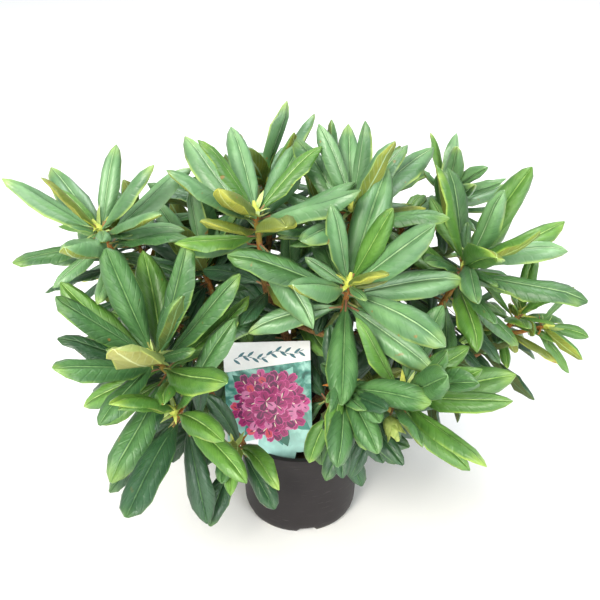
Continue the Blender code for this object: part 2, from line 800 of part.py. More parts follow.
def add_limb(name, limb, obstacles):
    """A six-sided tube round a limb, a little fat, as an obstacle."""
    verts = []
    faces = []
    for i, (place, radius) in enumerate(zip(limb.path, limb.radii)):
        _, along = limb.at(min(limb.shares[i] + 0.001, 1.0))
        side = along.orthogonal().normalized()
        up = along.cross(side)
        for k in range(6):
            angle = math.pi * k / 3
            verts.append(place + (side * math.cos(angle) + up * math.sin(angle)) * (radius + CLEARANCE / 2))
        if i:
            base = (i - 1) * 6
            for k in range(6):
                n = (k + 1) % 6
                faces.append((base + k, base + n, base + 6 + n, base + 6 + k))
    obstacles.add(name, verts, faces)


def union(solid, joined):
    """Joins a collection's solids to a solid by one Boolean, and removes them."""
    modifier = solid.modifiers.new("join", "BOOLEAN")
    modifier.operation = "UNION"
    modifier.operand_type = "COLLECTION"
    modifier.collection = joined
    modifier.solver = "MANIFOLD"
    bpy.context.view_layer.update()
    mesh = evaluated_mesh(solid)
    solid.modifiers.clear()
    solid.data = mesh
    keep_largest_body(mesh)
    for thing in list(joined.objects):
        bpy.data.objects.remove(thing, do_unlink=True)
    bpy.data.collections.remove(joined)


def keep_largest_body(mesh):
    """Drops loose scraps and the walls of sealed hollows, so that one body is left."""
    shape = bmesh.new()
    shape.from_mesh(mesh)
    bmesh.ops.triangulate(shape, faces=shape.faces)
    seen = set()
    bodies = []
    for vert in shape.verts:
        if vert in seen:
            continue
        body = {vert}
        front = [vert]
        while front:
            for edge in front.pop().link_edges:
                for other in edge.verts:
                    if other not in body:
                        body.add(other)
                        front.append(other)
        seen |= body
        bodies.append(body)
    bodies.sort(key=len)
    for body in bodies[:-1]:
        bmesh.ops.delete(shape, geom=list(body), context="VERTS")
    shape.to_mesh(mesh)
    shape.free()


def main():
    clear_scene()
    part = new_collection("potted_rhododendron")
    cutters = new_collection("cutters")
    pot_plastic = new_material("grey_brown_plastic", (0.070, 0.058, 0.055), 0.55)
    soil_dark = new_material("potting_soil", (0.030, 0.020, 0.014), 0.95)
    bark = new_material("bark", (0.300, 0.145, 0.060), 0.75)
    foliage = new_material("leathery_leaf", (0.080, 0.240, 0.075), 0.45)
    card_white = new_material("printed_card", (0.750, 0.760, 0.760), 0.30)

    pot = build_pot(part, cutters, pot_plastic)
    soil = build_soil(part, soil_dark)
    card = build_card(part, cutters, soil, card_white)
    trunk, trunk_limb = build_trunk(part, bark)
    trunk_cutter = clearance_copy("main_stem", trunk_limb, cutters, TRUNK_SIDES)

    obstacles = Obstacles()
    blades = Obstacles()
    for thing in (pot, soil, card, trunk):
        obstacles.add_object(thing.name, thing)
    verts, faces = card_view_shape()
    obstacles.add("card_view", verts, faces)

    boughs = {}
    cutter_of = {}
    for name, (mass_name, share, rising) in MAIN_BOUGHS.items():
        row = FOLIAGE[mass_name]
        limb = grow_bough(name, row, trunk_limb, share, rising, MAIN_RADII, trunk_cutter, part, bark)
        boughs[name] = limb
        cutter_of[name] = clearance_copy(name, limb, cutters)
        add_limb(name, limb, obstacles)
    for mass_name, (parent, share) in SIDE_BOUGHS.items():
        name = mass_name.replace("foliage", "side_bough")
        row = FOLIAGE[mass_name]
        if parent not in cutter_of:
            cutter_of[parent] = clearance_copy(parent, boughs[parent], cutters)
        cutter = cutter_of[parent]
        limb = grow_bough(name, row, boughs[parent], share, KEEP_RISING, SIDE_RADII, cutter, part, bark)
        boughs[name] = limb
        add_limb(name, limb, obstacles)

    limbs = {}
    for name, row in FOLIAGE.items():
        limbs[name] = mass_limbs(row)
        stem, shoots = limbs[name]
        for limb in [stem] + shoots:
            add_limb(name, limb, obstacles)
    for name, row in FOLIAGE.items():
        stem, shoots = limbs[name]
        build_mass(name, row, stem, shoots, obstacles, blades, part, foliage)


main()
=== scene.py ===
# Potted rhododendron with a picture card: the looks over the fixed model.
# All sizes are metres. The pot stands on the floor at the origin and the card faces -Y.
import bmesh
import math
import random

import bpy
import numpy as np
from mathutils import Matrix, Vector, noise
from mathutils.bvhtree import BVHTree


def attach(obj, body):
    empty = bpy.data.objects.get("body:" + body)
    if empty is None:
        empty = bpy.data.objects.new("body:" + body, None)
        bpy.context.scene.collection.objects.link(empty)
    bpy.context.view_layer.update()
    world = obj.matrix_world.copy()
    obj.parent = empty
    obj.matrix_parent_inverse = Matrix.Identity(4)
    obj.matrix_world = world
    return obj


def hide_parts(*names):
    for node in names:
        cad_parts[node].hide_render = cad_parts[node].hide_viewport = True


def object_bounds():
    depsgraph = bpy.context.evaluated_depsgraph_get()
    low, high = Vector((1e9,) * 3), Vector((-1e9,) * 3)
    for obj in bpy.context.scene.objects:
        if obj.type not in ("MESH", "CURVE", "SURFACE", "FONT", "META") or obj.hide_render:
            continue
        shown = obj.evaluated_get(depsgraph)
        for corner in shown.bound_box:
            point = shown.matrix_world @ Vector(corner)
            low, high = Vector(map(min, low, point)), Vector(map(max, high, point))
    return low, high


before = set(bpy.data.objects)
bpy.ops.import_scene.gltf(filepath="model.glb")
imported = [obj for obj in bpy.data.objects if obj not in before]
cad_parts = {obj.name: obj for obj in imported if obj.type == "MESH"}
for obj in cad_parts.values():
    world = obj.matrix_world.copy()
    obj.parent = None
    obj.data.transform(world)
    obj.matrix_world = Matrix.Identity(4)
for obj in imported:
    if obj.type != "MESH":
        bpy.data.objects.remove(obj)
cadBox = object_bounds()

foliageNodes = sorted(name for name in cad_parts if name.startswith("foliage"))
boughNodes = sorted(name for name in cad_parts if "bough" in name)


def linear(hexColour):
    channels = [int(hexColour[i:i + 2], 16) / 255 for i in (1, 3, 5)]
    return tuple(c / 12.92 if c <= 0.04045 else ((c + 0.055) / 1.055) ** 2.4 for c in channels) + (1.0,)


def setInputs(node, inputs):
    # by name, or in the order that the node shows them: a node or socket to link, a value, or a hex colour
    shown = [socket for socket in node.inputs if socket.enabled]
    for key, value in inputs.items() if isinstance(inputs, dict) else enumerate(inputs):
        socket = node.inputs[key] if isinstance(key, str) else shown[key]
        if isinstance(value, bpy.types.Node):
            value = next(output for output in value.outputs if output.enabled)
        if isinstance(value, bpy.types.NodeSocket):
            node.id_data.links.new(value, socket)
        else:
            socket.default_value = linear(value) if isinstance(value, str) else value


def addNode(tree, kind, inputs=(), stops=(), **settings):
    node = tree.nodes.new("ShaderNode" + kind)
    for key, value in settings.items():
        setattr(node, key, value)
    setInputs(node, inputs)
    if stops:  # a ramp's colours, from its first place to its last
        marks = node.color_ramp.elements
        marks[0].position, marks[1].position = stops[0][0], stops[-1][0]
        for position, _ in stops[1:-1]:
            marks.new(position)
        for mark, (_, colour) in zip(marks, stops):
            mark.color = linear(colour)
    return node


# settings that the materials share
times = {"operation": "MULTIPLY"}
colours = {"data_type": "RGBA"}
eased = {"interpolation_type": "SMOOTHSTEP"}


def newMaterial(name, colour, roughness, more=None):
    material = bpy.data.materials.new(name)
    material.use_nodes = True
    material.diffuse_color = linear(colour)
    shader = material.node_tree.nodes["Principled BSDF"]
    setInputs(shader, {"Base Color": colour, "Roughness": roughness, **(more or {})})
    return material, material.node_tree, shader


def deselectAll():
    if bpy.context.object and bpy.context.object.mode != "OBJECT":
        bpy.ops.object.mode_set(mode="OBJECT")
    bpy.ops.object.select_all(action="DESELECT")


def activate(thing):
    deselectAll()
    thing.select_set(True)
    bpy.context.view_layer.objects.active = thing


def selectAll():
    bpy.ops.mesh.select_all(action="SELECT")


def startEdit(thing, kind="VERT", everything=False):
    activate(thing)
    bpy.ops.object.mode_set(mode="EDIT")
    bpy.ops.mesh.select_mode(type=kind)
    bpy.ops.mesh.select_all(action="SELECT" if everything else "DESELECT")


def endEdit():
    # all faces are turned outwards first
    selectAll()
    bpy.ops.mesh.normals_make_consistent(inside=False)
    deselectAll()


def pick(thing, test, kind="VERT"):
    # selects what passes the test on its middle, in the mesh's own space
    bpy.ops.mesh.select_all(action="DESELECT")
    shape = bmesh.from_edit_mesh(thing.data)
    if kind == "VERT":
        for vert in shape.verts:
            vert.select_set(test(vert.co))
    elif kind == "EDGE":
        for edge in shape.edges:
            edge.select_set(test(edge.verts[0].co) and test(edge.verts[1].co))
    else:
        for face in shape.faces:
            face.select_set(test(face.calc_center_median(), face.normal))
    shape.select_flush_mode()
    bmesh.update_edit_mesh(thing.data)


def named(name):
    thing = bpy.context.object
    thing.name = name
    thing.data.name = name
    return thing


def applyAll(thing):
    activate(thing)
    for modifier in list(thing.modifiers):
        bpy.ops.object.modifier_apply(modifier=modifier.name)


def settle(thing, angle=40):
    # the place goes into the mesh, and the shading follows the edges
    activate(thing)
    bpy.ops.object.transform_apply(location=True, rotation=True, scale=True)
    bpy.ops.object.shade_smooth_by_angle(angle=math.radians(angle))
    return thing


def joinAll(things, name):
    deselectAll()
    for thing in things:
        thing.select_set(True)
    bpy.context.view_layer.objects.active = things[0]
    if len(things) > 1:
        bpy.ops.object.join()
    return named(name)


def copyOf(blank, name, coordinates, materials=None):
    mesh = blank.data.copy()
    mesh.name = name
    mesh.vertices.foreach_set("co", np.asarray(coordinates, dtype=np.float32).ravel())
    if materials:
        for i, material in enumerate(materials):
            mesh.materials[i] = material
    thing = bpy.data.objects.new(name, mesh)
    bpy.context.scene.collection.objects.link(thing)
    return thing


def coordinatesOf(thing):
    flat = np.zeros(len(thing.data.vertices) * 3, dtype=np.float32)
    thing.data.vertices.foreach_get("co", flat)
    return flat.reshape(-1, 3).astype(float)


def moved(matrix, coordinates):
    return [matrix @ Vector(co) for co in coordinates]


def discard(*things):
    for thing in things:
        bpy.data.objects.remove(thing, do_unlink=True)


def showPiece(thing, nodes=()):
    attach(thing, "root")
    if nodes:
        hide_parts(*nodes)


# the studio: sizes in metres, angles in degrees, lamps in watts
stageLook = {
    "floor": "#fbfbfa", "floorSize": 12.0, "floorMiddle": (0.0, 2.0, 0.0),
    "world": "#f4f7fb", "worldStrength": 0.62, "aim": (0.0, 0.0, 0.28),
    "camera": (0.0, -1.0, 0.85), "lookDown": 28.4, "lens": 55.8, "sensor": 36.0,
}
stageLamps = {
    "key": {"place": (-1.5, -3.0, 2.8), "size": 1.6, "power": 190.0, "colour": "#fffaf0"},
    "top": {"place": (0.5, 1.8, 4.2), "size": 2.4, "power": 130.0, "colour": "#f8fbff"},
    "fill": {"place": (1.8, -3.0, 1.5), "size": 1.6, "power": 75.0, "colour": "#fbfdff"},
}


def makeStage():
    s = stageLook
    scene = bpy.context.scene
    scene.view_settings.view_transform = "Standard"
    bpy.ops.mesh.primitive_plane_add(size=s["floorSize"], location=s["floorMiddle"])
    floor = settle(named("studioFloor"))
    floor.data.materials.append(newMaterial("matteStudioPaper", s["floor"], 0.85)[0])  # even, without a shine
    world = bpy.data.worlds.new("softStudio")
    world.use_nodes = True
    setInputs(world.node_tree.nodes["Background"], {"Color": s["world"], "Strength": s["worldStrength"]})
    scene.world = world
    for name, look in stageLamps.items():
        bpy.ops.object.light_add(type="AREA", location=look["place"])
        lamp = bpy.context.object
        lamp.name = name + "Softbox"
        lamp.data.size = look["size"]
        lamp.data.energy = look["power"]
        lamp.data.color = linear(look["colour"])[:3]
        aim = Vector(s["aim"]) - lamp.location
        lamp.rotation_euler = aim.to_track_quat("-Z", "Y").to_euler()
    lens = bpy.data.cameras.new("studioCamera")
    lens.lens = s["lens"]
    lens.sensor_width = s["sensor"]
    camera = bpy.data.objects.new("studioCamera", lens)
    scene.collection.objects.link(camera)
    camera.location = s["camera"]
    camera.rotation_euler = (math.radians(90 - s["lookDown"]), 0.0, 0.0)
    scene.camera = camera
    print("stage: floor, three softboxes and camera")


# the pot: a thin wall that widens upwards from a rounded foot, and a rolled rim
potShape = {
    "sides": 96, "height": 0.128, "wall": 0.0015, "rimRadius": 0.085, "rimDepth": 0.012,
    "topRadius": 0.0785, "footRadius": 0.0745, "footHeight": 0.020, "footSteps": 5, "baseRadius": 0.066,
    "floor": 0.002,
    "outsideHeights": (0.045, 0.070, 0.095), "insideHeights": (0.095, 0.060), "lipSpace": 0.0025,
    "bead": 0.0006,
    # the rim's profile as steps out and up: round its foot, round its top edge, and back to the wall
    "rimFoot": ((-0.0020, 0.0), (-0.0007, 0.0008), (-0.0003, 0.0050)),
    "rimEdge": ((0.0, -0.0014), (-0.0004, -0.0004), (-0.0013, 0.0)),
    "rimBack": ((-0.0007, 0.0), (-0.0015, -0.0008)),
    "standWidth": 0.006, "standHeight": 0.0012,
    "drains": 6, "drainReach": 0.046, "drainRadius": 0.0045, "drainSides": 24, "drillLength": 0.012,
    "notches": 5, "notchWidth": 0.34, "notchFirst": -84, "notchReach": 0.0625,
    # the foot's rings below each height (as it stands by then) are raised by each rise in turn
    "notchRises": ((0.0090, 0.0012), (0.0057, 0.0020), (0.0050, 0.0013)),
}


def wallRadius(height):
    s = potShape
    share = (height - s["footHeight"]) / (s["height"] - s["rimDepth"] - s["footHeight"])
    return s["footRadius"] + (s["topRadius"] - s["footRadius"]) * share


def raiseRings(rings):
    # extrudes the selected ring of edges to each radius and height in turn
    radius, height = rings[0]
    for nextRadius, nextHeight in rings[1:]:
        bpy.ops.mesh.extrude_edges_move(TRANSFORM_OT_translate={"value": (0, 0, nextHeight - height)})
        k = nextRadius / radius
        bpy.ops.transform.resize(value=(k, k, 1), center_override=(0, 0, nextHeight))
        radius, height = nextRadius, nextHeight


def footCurve(inset, lift):
    s = potShape
    rings = []
    for step in range(s["footSteps"] + 1):
        angle = math.radians(90 / s["footSteps"]) * step
        radius = s["baseRadius"] + (s["footRadius"] - s["baseRadius"]) * math.sin(angle) - inset
        rings.append((radius, lift + (s["footHeight"] - lift) * (1 - math.cos(angle))))
    return rings


def makePot():
    s = potShape
    top = s["height"]
    lip = top - s["rimDepth"]
    outside = footCurve(0.0, 0.0) + [(wallRadius(z), z) for z in (*s["outsideHeights"], lip - s["lipSpace"])]
    rim = [(wallRadius(lip) + s["bead"], lip - s["bead"])]
    rim += [(s["rimRadius"] + out, lip + up) for out, up in s["rimFoot"]]
    rim += [(s["rimRadius"] + out, top + up) for out, up in s["rimEdge"]]
    rim += [(wallRadius(top) + out, top + up) for out, up in s["rimBack"]]
    inside = [(wallRadius(z) - s["wall"], z) for z in (lip, *s["insideHeights"])]
    inside += footCurve(s["wall"], s["floor"])[::-1]
    bpy.ops.mesh.primitive_circle_add(vertices=s["sides"], radius=outside[0][0], fill_type="NOTHING")
    pot = named("nurseryPot")
    startEdit(pot, "EDGE", True)
    raiseRings(outside + rim + inside)
    bpy.ops.mesh.edge_face_add()
    pick(pot, lambda co: abs(co.z) < 0.00001, "EDGE")
    bpy.ops.mesh.edge_face_add()
    bpy.ops.mesh.inset(thickness=s["standWidth"])  # the moulded ring that the pot stands on
    bpy.ops.transform.translate(value=(0, 0, s["standHeight"]))
    for number in range(s["notches"]):  # shallow arches in the foot that let water out
        middle = math.radians(s["notchFirst"]) + 2 * math.pi * number / s["notches"]
        for limit, rise in s["notchRises"]:
            def inNotch(co):
                turn = (math.atan2(co.y, co.x) - middle + math.pi) % (2 * math.pi) - math.pi
                low = co.z < limit and math.hypot(co.x, co.y) > s["notchReach"]
                return low and abs(turn) < s["notchWidth"] / 2
            pick(pot, inNotch)
            bpy.ops.transform.translate(value=(0, 0, rise))
    endEdit()
    for number in range(s["drains"]):
        angle = 2 * math.pi * number / s["drains"]
        place = (s["drainReach"] * math.cos(angle), s["drainReach"] * math.sin(angle), 0.0)
        bpy.ops.mesh.primitive_cylinder_add(vertices=s["drainSides"], radius=s["drainRadius"],
                                            depth=s["drillLength"], location=place)
        drill = named("drill")
        modifier = pot.modifiers.new("drain", "BOOLEAN")
        modifier.operation = "DIFFERENCE"
        modifier.object = drill
        applyAll(pot)
        discard(drill)
    pot.data.materials.clear()
    pot.data.materials.append(potPlastic())
    settle(pot, 35)
    showPiece(pot, ["pot"])
    print("pot: turned wall, rolled rim, foot notches and drains")


def potPlastic():
    # recycled polypropylene, injection moulded: dull grey-brown, with faint scuffs and flow marks
    dull = {"Specular IOR Level": 0.24}
    material, tree, shader = newMaterial("recycledPolypropylene", "#292526", 0.5, dull)
    place = addNode(tree, "TexCoord").outputs["Object"]
    cloud = addNode(tree, "TexNoise", (place, 28.0, 4.0))
    tint = addNode(tree, "Mix", (cloud, "#232021", "#302c2d"), **colours)
    # scuffs run round the pot, some 25 mm long and 1 mm high
    stretched = addNode(tree, "Mapping", {"Vector": place, "Scale": (40.0, 40.0, 900.0)})
    streaks = addNode(tree, "TexNoise", (stretched, 1.0, 2.0))
    scuffs = addNode(tree, "MapRange", (streaks, 0.65, 0.78, 0.0, 0.5))
    scuffed = addNode(tree, "Mix", (scuffs, tint, "#6a6364"), **colours)
    # the foot's edge, up to 5 mm, is worn pale in stretches
    height = addNode(tree, "SeparateXYZ", (place,)).outputs["Z"]
    edge = addNode(tree, "MapRange", (height, 0.0026, 0.0050, 0.85, 0.0), **eased)
    patches = addNode(tree, "TexNoise", (place, 16.0, 2.0))
    stretches = addNode(tree, "MapRange", (patches, 0.42, 0.56, 0.0, 1.0), **eased)
    worn = addNode(tree, "Math", (edge, stretches), **times)
    colour = addNode(tree, "Mix", (worn, scuffed, "#77745c"), **colours)
    grain = addNode(tree, "TexNoise", (place, 900.0, 2.0))
    bump = addNode(tree, "Bump", {"Height": grain, "Strength": 0.12, "Distance": 0.0004})
    setInputs(shader, {"Base Color": colour, "Normal": bump})
    return material


# the potting soil: a body that fills the pot, and loose crumbs on its lumpy top
soilShape = {
    "sides": 64, "top": 0.113, "dip": 0.003, "rimDip": 0.4, "flat": 0.030,
    "wallGap": 0.0018, "floorGap": 0.0003, "bottomRadius": 0.064,
    "sideHeights": (0.03, 0.06, 0.09),
    "topRings": (0.070, 0.062, 0.054, 0.046, 0.038, 0.030, 0.022, 0.014, 0.006),
    "lumpHeight": 0.0012, "lumpScale": 120, "lumpsFrom": 0.1085, "lumpSpare": 0.001,
    "crumbs": 520, "crumbSize": (0.0010, 0.0032), "crumbWidth": (0.5, 0.9), "crumbHeight": (0.4, 0.7),
    "crumbTilt": 0.5, "crumbSpare": 0.004, "crumbInner": 0.04, "crumbDip": 0.8, "crumbSink": 0.0004,
    "mound": 0.036, "seed": 5,
}


def makeSoil():
    s = soilShape
    edge = wallRadius(s["top"]) - s["wallGap"]
    bottom = potShape["floor"] + s["floorGap"]
    bpy.ops.mesh.primitive_circle_add(vertices=s["sides"], radius=s["bottomRadius"], fill_type="NGON",
                                      location=(0, 0, bottom))
    soil = named("pottingSoil")
    startEdit(soil, "EDGE")
    rings = [(s["bottomRadius"], 0.0)]
    rings += [(wallRadius(z) - s["wallGap"], z - bottom) for z in s["sideHeights"]]
    rings += [(edge, s["top"] - s["dip"] * s["rimDip"] - bottom)]
    for radius in s["topRings"]:
        height = s["top"] if radius <= s["flat"] else s["top"] - s["dip"]
        rings.append((radius, height - bottom))
    pick(soil, lambda co: math.hypot(co.x, co.y) > s["bottomRadius"] - 0.0005, "EDGE")
    raiseRings(rings)
    bpy.ops.mesh.edge_face_add()
    endEdit()
    coordinates = coordinatesOf(soil)
    for co in coordinates:
        if co[2] > s["lumpsFrom"] - bottom and math.hypot(co[0], co[1]) < edge - s["lumpSpare"]:
            co[2] += s["lumpHeight"] * noise.noise(Vector(co) * s["lumpScale"])
    soil.data.vertices.foreach_set("co", coordinates.astype(np.float32).ravel())
    bpy.ops.mesh.primitive_ico_sphere_add(subdivisions=1, radius=1.0)
    crumb = named("crumb")
    blank = coordinatesOf(crumb)
    draws = random.Random(s["seed"])
    crumbs = []
    for _ in range(s["crumbs"]):
        reach = math.sqrt(draws.uniform(s["crumbInner"], 1)) * (edge - s["crumbSpare"])
        angle = draws.uniform(0, 2 * math.pi)
        low = s["crumbSink"] if reach < s["mound"] else s["dip"] * s["crumbDip"]
        place = Vector((reach * math.cos(angle), reach * math.sin(angle), s["top"] - low))
        size = draws.uniform(*s["crumbSize"])
        width, height = size * draws.uniform(*s["crumbWidth"]), size * draws.uniform(*s["crumbHeight"])
        turn = Matrix.Rotation(draws.uniform(0, 6.28), 4, "Z")
        turn = turn @ Matrix.Rotation(draws.uniform(-s["crumbTilt"], s["crumbTilt"]), 4, "X")
        matrix = Matrix.Translation(place) @ turn @ Matrix.Diagonal((size, width, height, 1.0))
        crumbs.append(copyOf(crumb, "crumb", moved(matrix, blank)))
    discard(crumb)
    activate(soil)
    bpy.ops.object.transform_apply(location=True, rotation=True, scale=True)
    soil = joinAll([soil] + crumbs, "pottingSoil")
    soil.data.materials.clear()
    soil.data.materials.append(dampPeat())
    settle(soil, 60)
    showPiece(soil, ["potting_soil"])
    print("soil: lumpy top with crumbs")


def dampPeat():
    # damp peat: nearly black, with browner fibres some 2 mm across
    peat, tree, shader = newMaterial("dampPeat", "#2b201a", 0.95, {"Specular IOR Level": 0.2})
    fibre = addNode(tree, "TexNoise", (addNode(tree, "TexCoord").outputs["Object"], 420.0, 5.0))
    colour = addNode(tree, "ValToRGB", (fibre,), ((0.35, "#17100d"), (0.72, "#4d3626")))
    bump = addNode(tree, "Bump", {"Height": fibre, "Strength": 0.6, "Distance": 0.001})
    setInputs(shader, {"Base Color": colour, "Normal": bump})
    return peat


# the picture card: a stiff printed card that leans back in the front of the pot
cardShape = {
    "width": 0.105, "height": 0.148, "thickness": 0.001, "corner": 0.001,
    "foot": (-0.0366, -0.0680, 0.1292), "lean": 10.3, "roll": 1.5,
    "spikeWidth": 0.012, "spikeTip": 0.003, "spikeLength": 0.032, "spikeOffset": 0.026,
    # the white band's lower edge at the card's left and right, and the pale note in the lower left corner
    "bandLeft": 0.1095, "bandRight": 0.1230,
    "noteWidth": 0.036, "noteHeights": (0.0115, 0.0193), "noteLean": 0.12,
}
# its picture: a round head of florets over a fan of leaves, and a sprig along the band
pictureShape = {
    "seed": 12, "middle": (0.001, 0.0655), "printHeight": 0.00004,
    "leaves": 15, "leafTurn": 2.4, "leafSway": 0.2, "leafLength": (0.038, 0.050), "leafFoot": 0.012,
    # how far a leaf's tip keeps from the card's sides, its foot, the band, and the note's side and top
    "spare": (0.001, 0.003, 0.002, 0.006, 0.004),
    "florets": 36, "reach": (0.038, 0.040), "goldenTurn": 2.39996, "petals": 5, "petalTurn": 1.2566,
    "petal": 0.0150, "petalSize": (0.85, 1.1), "petalWidth": (0.75, 1.0), "coralShare": 0.05,
    # above the card's face: the first floret, each next one, each next petal, its ink, fold, eye and stamens
    "lift": 0.0002, "step": 0.000018, "petalStep": 0.000002, "inkLift": 0.000004, "foldLift": 0.000007,
    "eyeLift": 0.000016, "stamenLift": 0.000017, "leafStep": 0.00001,
    # share of the petal's width and length that its ink covers, and those of its fold, the eye and a stamen
    "inkShare": (0.86, 0.92), "foldShare": (0.13, 0.72), "foldTurn": 0.10, "eyeShare": 0.3,
    "stamenShare": (0.10, 0.5), "stamenTurns": (0.6, 2.8),
    "sprigLeaves": 15, "sprigStart": 0.012, "sprigSpan": 0.026, "sprigRise": 0.015, "sprigWave": 0.0030,
    "sprigBends": 12, "sprigTurns": (-128, -52), "sprigLeaf": (0.0085, 0.0105),
    "sprigStalk": (0.0026, 0.0075), "stalkSway": 0.42,
    "petalOutline": ((0.0, 0.0), (0.26, 0.22), (0.42, 0.55), (0.36, 0.86), (0.16, 1.0), (0.0, 0.93),
                     (-0.16, 1.0), (-0.36, 0.86), (-0.42, 0.55), (-0.26, 0.22)),
    "leafOutline": ((0.0, 0.0), (0.14, 0.2), (0.2, 0.5), (0.13, 0.8), (0.0, 1.0), (-0.13, 0.8), (-0.2, 0.5),
                    (-0.14, 0.2)),
}
printInks = {
    "paper": "#fbfcfc", "note": "#f6fafa", "pink": "#cf4a92", "magenta": "#a92a70", "plum": "#6c2254",
    "rose": "#de84b6", "coral": "#dc4c60", "cream": "#f7efd6", "teal": "#3f9383", "aqua": "#93d3c7",
    "fern": "#2b6f5b", "ink": "#2f6f7c",
}


def cardMatrix():
    s = cardShape
    lean = Matrix.Rotation(math.radians(90 - s["lean"]), 4, "X")
    return Matrix.Translation(s["foot"]) @ lean @ Matrix.Rotation(math.radians(s["roll"]), 4, "Z")


def pictureInks():
    # offset printed card under a clear coat: dense inks with an even soft gloss
    coat = {"Coat Weight": 0.25, "Coat Roughness": 0.12}
    inks = {}
    for name, colour in printInks.items():
        inks[name], tree, shader = newMaterial("printedCard" + name.capitalize(), colour, 0.32, coat)
        # the ink lies a little thicker in patches of some 4 mm
        cloud = addNode(tree, "TexNoise", (addNode(tree, "TexCoord").outputs["Object"], 250.0, 2.0))
        most = 0.10 if name in ("paper", "note") else 0.5
        share = addNode(tree, "MapRange", (cloud, 0.38, 0.64, 0.0, most), **eased)
        thick = tuple(c * 0.75 for c in linear(colour)[:3]) + (1.0,)
        setInputs(shader, {"Base Color": addNode(tree, "Mix", (share, colour, thick), **colours)})
    # the picture's background: leaves out of focus, in teal and aqua, which fade to pale aqua at the foot
    inks["blur"], tree, shader = newMaterial("printedCardBlur", "#7fc0b2", 0.32, coat)
    place = addNode(tree, "TexCoord").outputs["Object"]
    cloud = addNode(tree, "TexNoise", {"Vector": place, "Scale": 70.0, "Detail": 3.0, "Distortion": 0.6})
    blurred = addNode(tree, "ValToRGB", (cloud,), ((0.34, "#1f5b50"), (0.5, "#4c9788"), (0.66, "#a6dacf")))
    height = addNode(tree, "SeparateXYZ", (place,)).outputs["Z"]
    fade = addNode(tree, "MapRange", (height, 0.135, 0.205, 0.8, 0.0))
    setInputs(shader, {"Base Color": addNode(tree, "Mix", (fade, blurred, "#b8ebe2"), **colours)})
    return inks


def flatShape(name, outline):
    # a thin closed print: a circle's points moved to the outline, and given a little height
    bpy.ops.mesh.primitive_circle_add(vertices=len(outline), radius=1.0, fill_type="NGON")
    thing = named(name)
    coordinates = [(x, y, 0.0) for x, y in outline]
    thing.data.vertices.foreach_set("co", np.asarray(coordinates, dtype=np.float32).ravel())
    startEdit(thing, "FACE", True)
    bpy.ops.mesh.extrude_region_move(TRANSFORM_OT_translate={"value": (0, 0, pictureShape["printHeight"])})
    endEdit()
    return thing


def laid(blank, material, x, y, turn, width, length, lift):
    matrix = Matrix.Translation((x, y, lift)) @ Matrix.Rotation(turn, 4, "Z")
    matrix = matrix @ Matrix.Diagonal((width, length, 1.0, 1.0))
    thing = copyOf(blank, "print", moved(matrix, coordinatesOf(blank)))
    thing.data.materials.clear()
    thing.data.materials.append(material)
    return thing


def makeCard():
    s = cardShape
    inks = pictureInks()
    half = s["width"] / 2
    left, right = s["spikeOffset"] - s["spikeWidth"] / 2, s["spikeOffset"] + s["spikeWidth"] / 2
    slope = (s["bandRight"] - s["bandLeft"]) / s["width"]
    noteSlope = (s["noteHeights"][1] - s["noteHeights"][0]) / s["noteWidth"]
    bpy.ops.mesh.primitive_plane_add(size=1.0)
    card = named("pictureCard")
    startEdit(card, "FACE", True)
    bpy.ops.transform.resize(value=(s["width"], s["height"], 1.0))
    bpy.ops.transform.translate(value=(0, s["height"] / 2, s["thickness"] / 2))
    bpy.ops.mesh.select_mode(type="VERT")
    selectAll()
    bpy.ops.mesh.bevel(offset=s["corner"], segments=5, affect="VERTICES")
    cuts = (((-half, s["bandLeft"]), (-slope, 1)), ((-half, s["noteHeights"][0]), (-noteSlope, 1)),
            ((-half + s["noteWidth"], 0), (1, -s["noteLean"])), ((left, 0), (1, 0)), ((right, 0), (1, 0)))
    for (x, y), (across, up) in cuts:  # along the band, round the note and at the spike's two sides
        selectAll()
        bpy.ops.mesh.bisect(plane_co=(x, y, 0), plane_no=(across, up, 0))
    for name in ("blur", "paper", "note"):
        card.data.materials.append(inks[name])
    shape = bmesh.from_edit_mesh(card.data)
    for face in shape.faces:
        x, y, _ = face.calc_center_median()
        noteRight = -half + s["noteWidth"] + s["noteLean"] * y
        noteTop = s["noteHeights"][0] + noteSlope * (x + half)
        if y > s["bandLeft"] + slope * (x + half):
            face.material_index = 1
        elif x < noteRight and y < noteTop:
            face.material_index = 2
    bmesh.update_edit_mesh(card.data)
    # the spike is drawn down from the stretch of the foot between its two cuts
    pick(card, lambda co: abs(co.y) < 0.00001 and left - 0.0001 < co.x < right + 0.0001, "EDGE")
    bpy.ops.mesh.extrude_edges_move(TRANSFORM_OT_translate={"value": (0, -s["spikeLength"], 0)})
    k = s["spikeTip"] / s["spikeWidth"]
    bpy.ops.transform.resize(value=(k, 1, 1), center_override=(s["spikeOffset"], -s["spikeLength"], 0))
    bpy.ops.mesh.select_mode(type="FACE")
    selectAll()
    bpy.ops.mesh.extrude_region_move(TRANSFORM_OT_translate={"value": (0, 0, -s["thickness"])})
    pick(card, lambda co, normal: co.z < s["thickness"] * 0.4, "FACE")
    shape = bmesh.from_edit_mesh(card.data)
    for face in shape.faces:
        if face.select or face.calc_center_median().y < 0:
            face.material_index = 1
    bmesh.update_edit_mesh(card.data)
    endEdit()
    prints = printPicture(inks, half, slope)
    card = joinAll([card] + prints, "pictureCard")
    card.matrix_world = cardMatrix()
    settle(card, 30)
    showPiece(card, ["label_card"])
    print("card: band, note and flower picture,", len(prints), "prints")


